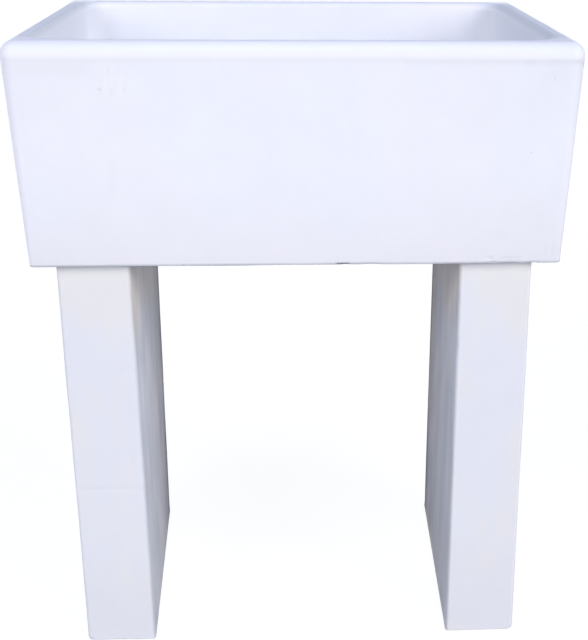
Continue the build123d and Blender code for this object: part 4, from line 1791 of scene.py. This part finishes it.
    def hub(self) -> bpy.types.Mesh:
        """The boss with a hexagonal pocket: a turned outline whose pocket follows the hexagon."""
        stations = 96
        pocket = hexagon_radius(self.pocket_flats, station_angles(stations))
        top = self.body_top - 0.2
        outline = [
            (self.hub_radius - 0.6, top),
            (self.hub_radius - 0.2, top - 0.2),
            (self.hub_radius, top - 0.6),
            (self.hub_radius, self.hub_foot + 0.6),
            (self.hub_radius - 0.2, self.hub_foot + 0.2),
            (self.hub_radius - 0.6, self.hub_foot),
            (pocket + 0.3, self.hub_foot),
            (pocket, self.hub_foot + 0.3),
            (pocket, self.nut_top),
            (self.screw_hole, self.nut_top),
            (self.screw_hole, top - 0.3),
            (self.screw_hole + 0.3, top),
        ]
        rows = [np.stack(np.broadcast_arrays(r, np.full(stations, z)), axis=-1) for r, z in outline]
        return turned_mesh("waste_hub", np.stack(rows), stations, self.crease)

    def spoke(self, number: int) -> bpy.types.Mesh:
        """A web from the hub into the body's wall: levels of a rounded rectangle, closed at both ends."""
        length, start = 23.0, 5.9
        half = np.array([length / 2 - 0.5, self.spoke_thickness / 2 - 0.5])
        side = np.linspace(-1.0, 1.0, 9)
        loop = PlanLoop.build(side, side, np.array([-1.0, 1.0]), 4)
        top = self.body_top - 0.35
        foot = self.body_top - self.spoke_height
        share = np.array([0.0, 0.9, 1.0, 1.0, 1.0, 1.0, 0.9, 0.0])
        radius = np.array([0.0, 0.05, 0.1, 0.5, 0.5, 0.1, 0.05, 0.0])
        height = np.array([foot, foot, foot, foot + 0.4, top - 0.4, top, top, top])
        points = loop.levels(share[:, None] * half, radius, height)
        points[..., 0] += start + length / 2
        angle = radians(self.spoke_start + 360.0 * number / self.spokes)
        return Shell().add(spun(points, angle)).mesh(f"waste_spoke_{number}", self.crease)

    def body(self) -> None:
        """The moulded body, with its hub and spokes grown together with the walls."""
        parts = [self.housing(), self.hub()] + [self.spoke(number) for number in range(self.spokes)]
        mesh = fused("waste_moulding", parts, self.crease)
        place_piece(mesh, Body.TROUGH, Slot.WASTE_PLASTIC, WASTE_PLASTIC, "waste_body")

    def nut(self) -> None:
        """The hexagon nut: a turned outline, cut off by the hexagon and by a cone at each end."""
        stations = 96
        hexagon = hexagon_radius(self.nut_flats, station_angles(stations))
        bore, low, high = 3.05, self.nut_top - self.nut_height, self.nut_top
        ring = 0.5 * self.nut_flats
        level = np.concatenate([np.linspace(low, low + 0.9, 7), np.linspace(high - 0.9, high, 7)])
        near_end = np.minimum(level - low, high - level)
        cone = ring * 0.97 + near_end * 1.7
        outside = np.stack([np.minimum(hexagon, limit) for limit in cone])
        sides = np.stack([outside, np.repeat(level[:, None], stations, axis=1)], axis=-1)
        hole = np.array([(bore + 0.4, high), (bore, high - 0.4), (bore, low + 0.4), (bore + 0.4, low)])
        inside = np.repeat(hole[:, None, :], stations, axis=1)
        mesh = turned_mesh("hex_nut", np.concatenate([sides, inside]), stations, 28.0)
        place_piece(mesh, Body.TROUGH, Slot.BRASS, BRASS, "clamp_nut")

    def build(self, nodes: Mapping[str, bpy.types.Object]) -> None:
        """Makes the waste's pieces and dresses the nodes that stay.

        Args:
            nodes: the CAD nodes by name.
        """
        self.strainer()
        self.body()
        self.nut()
        dress_node(nodes["clamp_screw"], STEEL_WIRE)
        dress_node(nodes["flange_gasket"], SEAL_RUBBER)
        dress_node(nodes["under_gasket"], SEAL_RUBBER)


# ---------------------------------------------------------------- the stopper


@dataclass
class Stopper:
    """The rubber plug with its riveted eye, washer and pull ring."""

    lip_radius: float = 26.0
    lip_under: float = 603.5
    top: float = 607.5
    base: float = 593.2
    head_radius: float = 22.7
    foot_radius: float = 21.65
    hollow_radius: float = 15.0
    hollow_top: float = 598.2
    stem_radius: float = 2.0
    collar_radius: float = 4.5
    collar_thickness: float = 1.0
    eye_level: float = 612.1
    eye_radius: float = 4.2
    eye_hole: float = 1.7
    eye_thickness: float = 3.0
    eye_square: float = 0.7  # the power that squares its section
    rivet_radius: float = 3.4
    washer_radius: float = 8.0
    washer_thickness: float = 1.0
    ring_radius: float = 10.8
    wire_radius: float = 1.1
    ring_droop: float = 8.52  # degrees

    def rib(self, drop: float, lean: float) -> list[tuple[float, float, float]]:
        """The corners of a sealing rib that starts so far under the plug's lip."""
        steps = [(drop, 0.0, 0.0), (drop + 0.6, 0.22, 0.3), (drop + 1.2, 0.0, 0.0)]
        return [(self.head_radius - at * lean + swell, self.lip_under - at, arc) for at, swell, arc in steps]

    def plug(self) -> None:
        """A turned outline with a dished top, a grip rib and two sealing ribs on the foot."""
        lean = (self.head_radius - self.foot_radius) / (self.lip_under - self.base)
        outline = rounded(
            (self.stem_radius, self.top - 0.5, 0.0),
            (6.0, self.top - 0.5, 0.6),
            (7.2, self.top - 0.9, 0.8),
            (16.6, self.top - 0.9, 1.0),
            (18.2, self.top, 1.0),
            (self.lip_radius - 0.6, self.top, 1.5),
            (self.lip_radius, self.lip_under + 1.2, 0.8),
            (self.lip_radius - 0.5, self.lip_under, 0.5),
            (self.head_radius, self.lip_under, 0.6),
            *self.rib(3.0, lean),
            *self.rib(6.4, lean),
            (self.foot_radius, self.base, 1.2),
            (self.hollow_radius + 0.3, self.base, 0.8),
            (self.hollow_radius, self.hollow_top, 1.2),
            (self.stem_radius, self.hollow_top, 0.0),
            steps=5,
        )
        mesh = turned_mesh("rubber_plug", outline, 120, 46.0)
        place_piece(mesh, Body.STOPPER, Slot.PLUG_RUBBER, PLUG_RUBBER, "plug")

    def eye(self) -> None:
        """The eye, a squared ring on edge, grown onto its collar and riveted stem.

        The ring's section is cos and sin raised to a power with their signs kept, which is a
        rectangle with round corners, carried round the hole's axis.
        """
        major = 0.5 * (self.eye_radius + self.eye_hole)
        minor = 0.5 * (self.eye_radius - self.eye_hole)
        turn = station_angles(72)[None, :]
        wind = station_angles(28)[:, None]
        reach = major + minor * squared(np.cos(wind), self.eye_square)
        width = 0.5 * self.eye_thickness * squared(np.sin(wind), self.eye_square) + 0.0 * turn
        points = np.stack([reach * np.cos(turn), width, self.eye_level + reach * np.sin(turn)], axis=-1)
        ring = Shell().add(points, rows_close=True).mesh("eye_ring", 60.0)
        washer_under = self.hollow_top - self.washer_thickness
        stem = rounded(
            (0.0, self.top + self.collar_thickness, 0.0),
            (self.collar_radius, self.top + self.collar_thickness, 0.45),
            (self.collar_radius, self.top - 0.45, 0.2),
            (self.stem_radius, self.top - 0.45, 0.1),
            (self.stem_radius, washer_under, 0.1),
            (self.rivet_radius, washer_under, 0.2),
            (self.rivet_radius - 0.3, washer_under - 0.95, 0.6),
            (0.0, washer_under - 0.95, 0.0),
            closed=False,
        )
        post = Shell().add(turned(stem, 64)).mesh("eye_stem", 50.0)
        mesh = fused("lift_eye", [ring, post], 50.0)
        place_piece(mesh, Body.STOPPER, Slot.STAINLESS, STEEL_WIRE, "plug_eye")

    def washer(self) -> None:
        """A flat washer with rolled edges."""
        low = self.hollow_top - self.washer_thickness
        outline = rounded(
            (self.stem_radius + 0.1, self.hollow_top, 0.2),
            (self.washer_radius, self.hollow_top, 0.35),
            (self.washer_radius, low, 0.35),
            (self.stem_radius + 0.1, low, 0.2),
        )
        mesh = turned_mesh("rivet_washer", outline, 72, 50.0)
        place_piece(mesh, Body.STOPPER, Slot.STAINLESS, STAINLESS, "plug_washer")

    def ring(self) -> None:
        """A bent wire ring through the eye, with a small welded joint on its far side.

        The wire's middle is a circle through the eye's middle; the ring is turned down about
        the hinge until its far side rests on the plug.
        """
        turn = station_angles(120)[None, :]
        wind = station_angles(20)[:, None]
        joint = np.exp(-((np.mod(turn - 0.5, 2.0 * pi) / 0.09 - 1.0) ** 2))
        wire = self.wire_radius - 0.1 * (1.0 - joint)
        reach = self.ring_radius + wire * np.cos(wind)
        along, across = self.ring_radius + reach * np.cos(turn), reach * np.sin(turn)
        points = np.stack([along, across, wire * np.sin(wind) + 0.0 * turn], axis=-1)
        droop = radians(self.ring_droop)
        tilt = np.array([[cos(droop), 0.0, -sin(droop)], [0.0, 1.0, 0.0], [sin(droop), 0.0, cos(droop)]])
        points = points @ tilt + np.array([0.0, 0.0, self.eye_level])
        mesh = Shell().add(points, rows_close=True).mesh("lift_ring", 60.0)
        place_piece(mesh, Body.RING, Slot.STAINLESS, STEEL_WIRE, "pull_ring")

    def build(self) -> None:
        """Makes the stopper's pieces."""
        self.plug()
        self.eye()
        self.washer()
        self.ring()


# ---------------------------------------------------------------- the studio


@dataclass(frozen=True)
class StudioCamera:
    """The photograph's camera, in millimetres, degrees and pixels of its 588 x 640 frame."""

    place: tuple[float, float, float] = (-14.88, -1663.31, 1034.89)
    pitch: float = 20.84  # down
    yaw: float = 3.65  # to the right
    roll: float = 0.62
    focal: float = 1176.54
    centre: tuple[float, float] = (357.47, 322.92)
    frame: tuple[float, float] = (588.0, 640.0)
    sensor: float = 36.0

    def build(self) -> None:
        """Makes the camera and gives it to the scene."""
        pitch, yaw, roll = radians(self.pitch), radians(self.yaw), radians(self.roll)
        ahead = Vector((sin(yaw) * cos(pitch), cos(yaw) * cos(pitch), -sin(pitch)))
        level = Vector((cos(yaw), -sin(yaw), 0.0))
        upward = level.cross(ahead)
        right = level * cos(roll) + upward * sin(roll)
        top = upward * cos(roll) - level * sin(roll)
        data = bpy.data.cameras.new("studio_camera")
        camera = linked("studio_camera", data)
        camera.matrix_world = Matrix.Translation(Vector(self.place) * MM) @ Matrix(
            [(right[i], top[i], -ahead[i], 0.0) for i in range(3)] + [(0.0, 0.0, 0.0, 1.0)]
        )
        long_side = max(self.frame)
        data.sensor_width = self.sensor
        data.lens = self.focal / long_side * self.sensor
        data.shift_x = -(self.centre[0] - self.frame[0] / 2) / long_side
        data.shift_y = (self.centre[1] - self.frame[1] / 2) / long_side
        bpy.context.scene.camera = camera


@dataclass(frozen=True)
class Lamp:
    """A soft lamp as far away as the sun."""

    name: str
    level: float  # what it adds to a white surface that faces it
    rise: float  # degrees above the floor
    side: float  # its bearing, 0 in front and 90 on the right
    softness: float  # how wide it looks, in degrees
    colour: Colour = (1.0, 0.985, 0.95)
    mirrored: bool = True  # whether it shows in glosses

    def build(self) -> None:
        """Adds the lamp to the scene."""
        data = bpy.data.lights.new(self.name, "SUN")
        data.energy = self.level * pi
        data.color = self.colour
        data.angle = radians(self.softness)
        lamp = linked(self.name, data)
        lamp.visible_glossy = self.mirrored
        bearing, height = radians(self.side), radians(self.rise)
        away = Vector((sin(bearing) * cos(height), -cos(bearing) * cos(height), sin(height)))
        lamp.rotation_mode = "QUATERNION"
        lamp.rotation_quaternion = away.to_track_quat("Z", "Y")


@dataclass(frozen=True)
class Studio:
    """Soft plain light, a pale floor and a white surround."""

    lamps: tuple[Lamp, ...] = (
        Lamp("key_lamp", level=0.70, rise=22.0, side=50.0, softness=35.0),
        Lamp("second_lamp", level=0.55, rise=22.0, side=-40.0, softness=35.0),
        Lamp(
            "back_lamp",
            level=0.62,
            rise=5.0,
            side=180.0,
            softness=24.0,
            colour=(1.0, 0.97, 0.9),
            mirrored=False,
        ),
    )
    zenith: Colour = (0.10, 0.205, 0.48)
    horizon: Colour = (0.09, 0.12, 0.16)
    floor_colour: Colour = (0.66, 0.66, 0.66)
    floor_size: float = 40.0  # metres
    floor_drop: float = 0.0004  # metres under the feet
    floor_share: float = 0.80  # how much of the floor's white is its own light
    floor_light: float = 1.165

    def surround(self) -> None:
        """A plain sky that lights the object, and white where it is seen or mirrored."""
        world = bpy.data.worlds.new("studio_surround")
        world.use_nodes = True
        graph = Graph(world.node_tree)
        way = graph.add("ShaderNodeTexCoord").outputs["Generated"]
        axes = graph.add("ShaderNodeSeparateXYZ", {"Vector": way})
        rise = Value(graph, axes.outputs["Z"]).ramp(0.1, 0.9)
        sky = graph.mix(rise, self.horizon, self.zenith)
        light = graph.add("ShaderNodeBackground", {"Color": sky})
        white = graph.add("ShaderNodeBackground", {"Color": (1.0, 1.0, 1.0)})
        graph.end("ShaderNodeOutputWorld", self.seen(graph), light, white)
        bpy.context.scene.world = world

    @staticmethod
    def seen(graph: Graph) -> Value:
        """1 for what the camera sees directly, in a gloss or through glass."""
        path = graph.add("ShaderNodeLightPath")
        names = ("Is Camera Ray", "Is Glossy Ray", "Is Transmission Ray")
        direct, gloss, through = [Value(graph, path.outputs[name]) for name in names]
        return graph.math("MAXIMUM", graph.math("MAXIMUM", direct, gloss), through)

    def floor(self) -> None:
        """A plain square that shows as white and keeps the object's shadow."""
        reach = self.floor_size / 2
        mesh = bpy.data.meshes.new("studio_floor")
        corners = [(-reach, -reach), (reach, -reach), (reach, reach), (-reach, reach)]
        mesh.from_pydata([(x, y, -self.floor_drop) for x, y in corners], [], [(0, 1, 2, 3)])
        material = bpy.data.materials.new("studio_floor")
        material.use_nodes = True
        graph = Graph(material.node_tree)
        matt = graph.add("ShaderNodeBsdfDiffuse", {"Color": self.floor_colour})
        glow = graph.add("ShaderNodeEmission", {"Strength": self.floor_light})
        graph.end("ShaderNodeOutputMaterial", self.seen(graph) * self.floor_share, matt, glow)
        mesh.materials.append(material)
        floor = linked("studio_floor", mesh)

    def build(self) -> None:
        """Sets up light, floor and view."""
        for lamp in self.lamps:
            lamp.build()
        self.surround()
        self.floor()
        bpy.context.scene.view_settings.view_transform = "Standard"


def main() -> None:
    """Builds the object around its frame, then the studio."""
    logging.basicConfig(level=logging.INFO, format="%(name)s %(message)s")
    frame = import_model()
    Trough().build()
    for side in Side:
        SlabLeg(side).build()
    Waste().build(frame["nodes"])
    Stopper().build()
    StudioCamera().build()
    Studio().build()


if __name__ == "__main__":
    main()
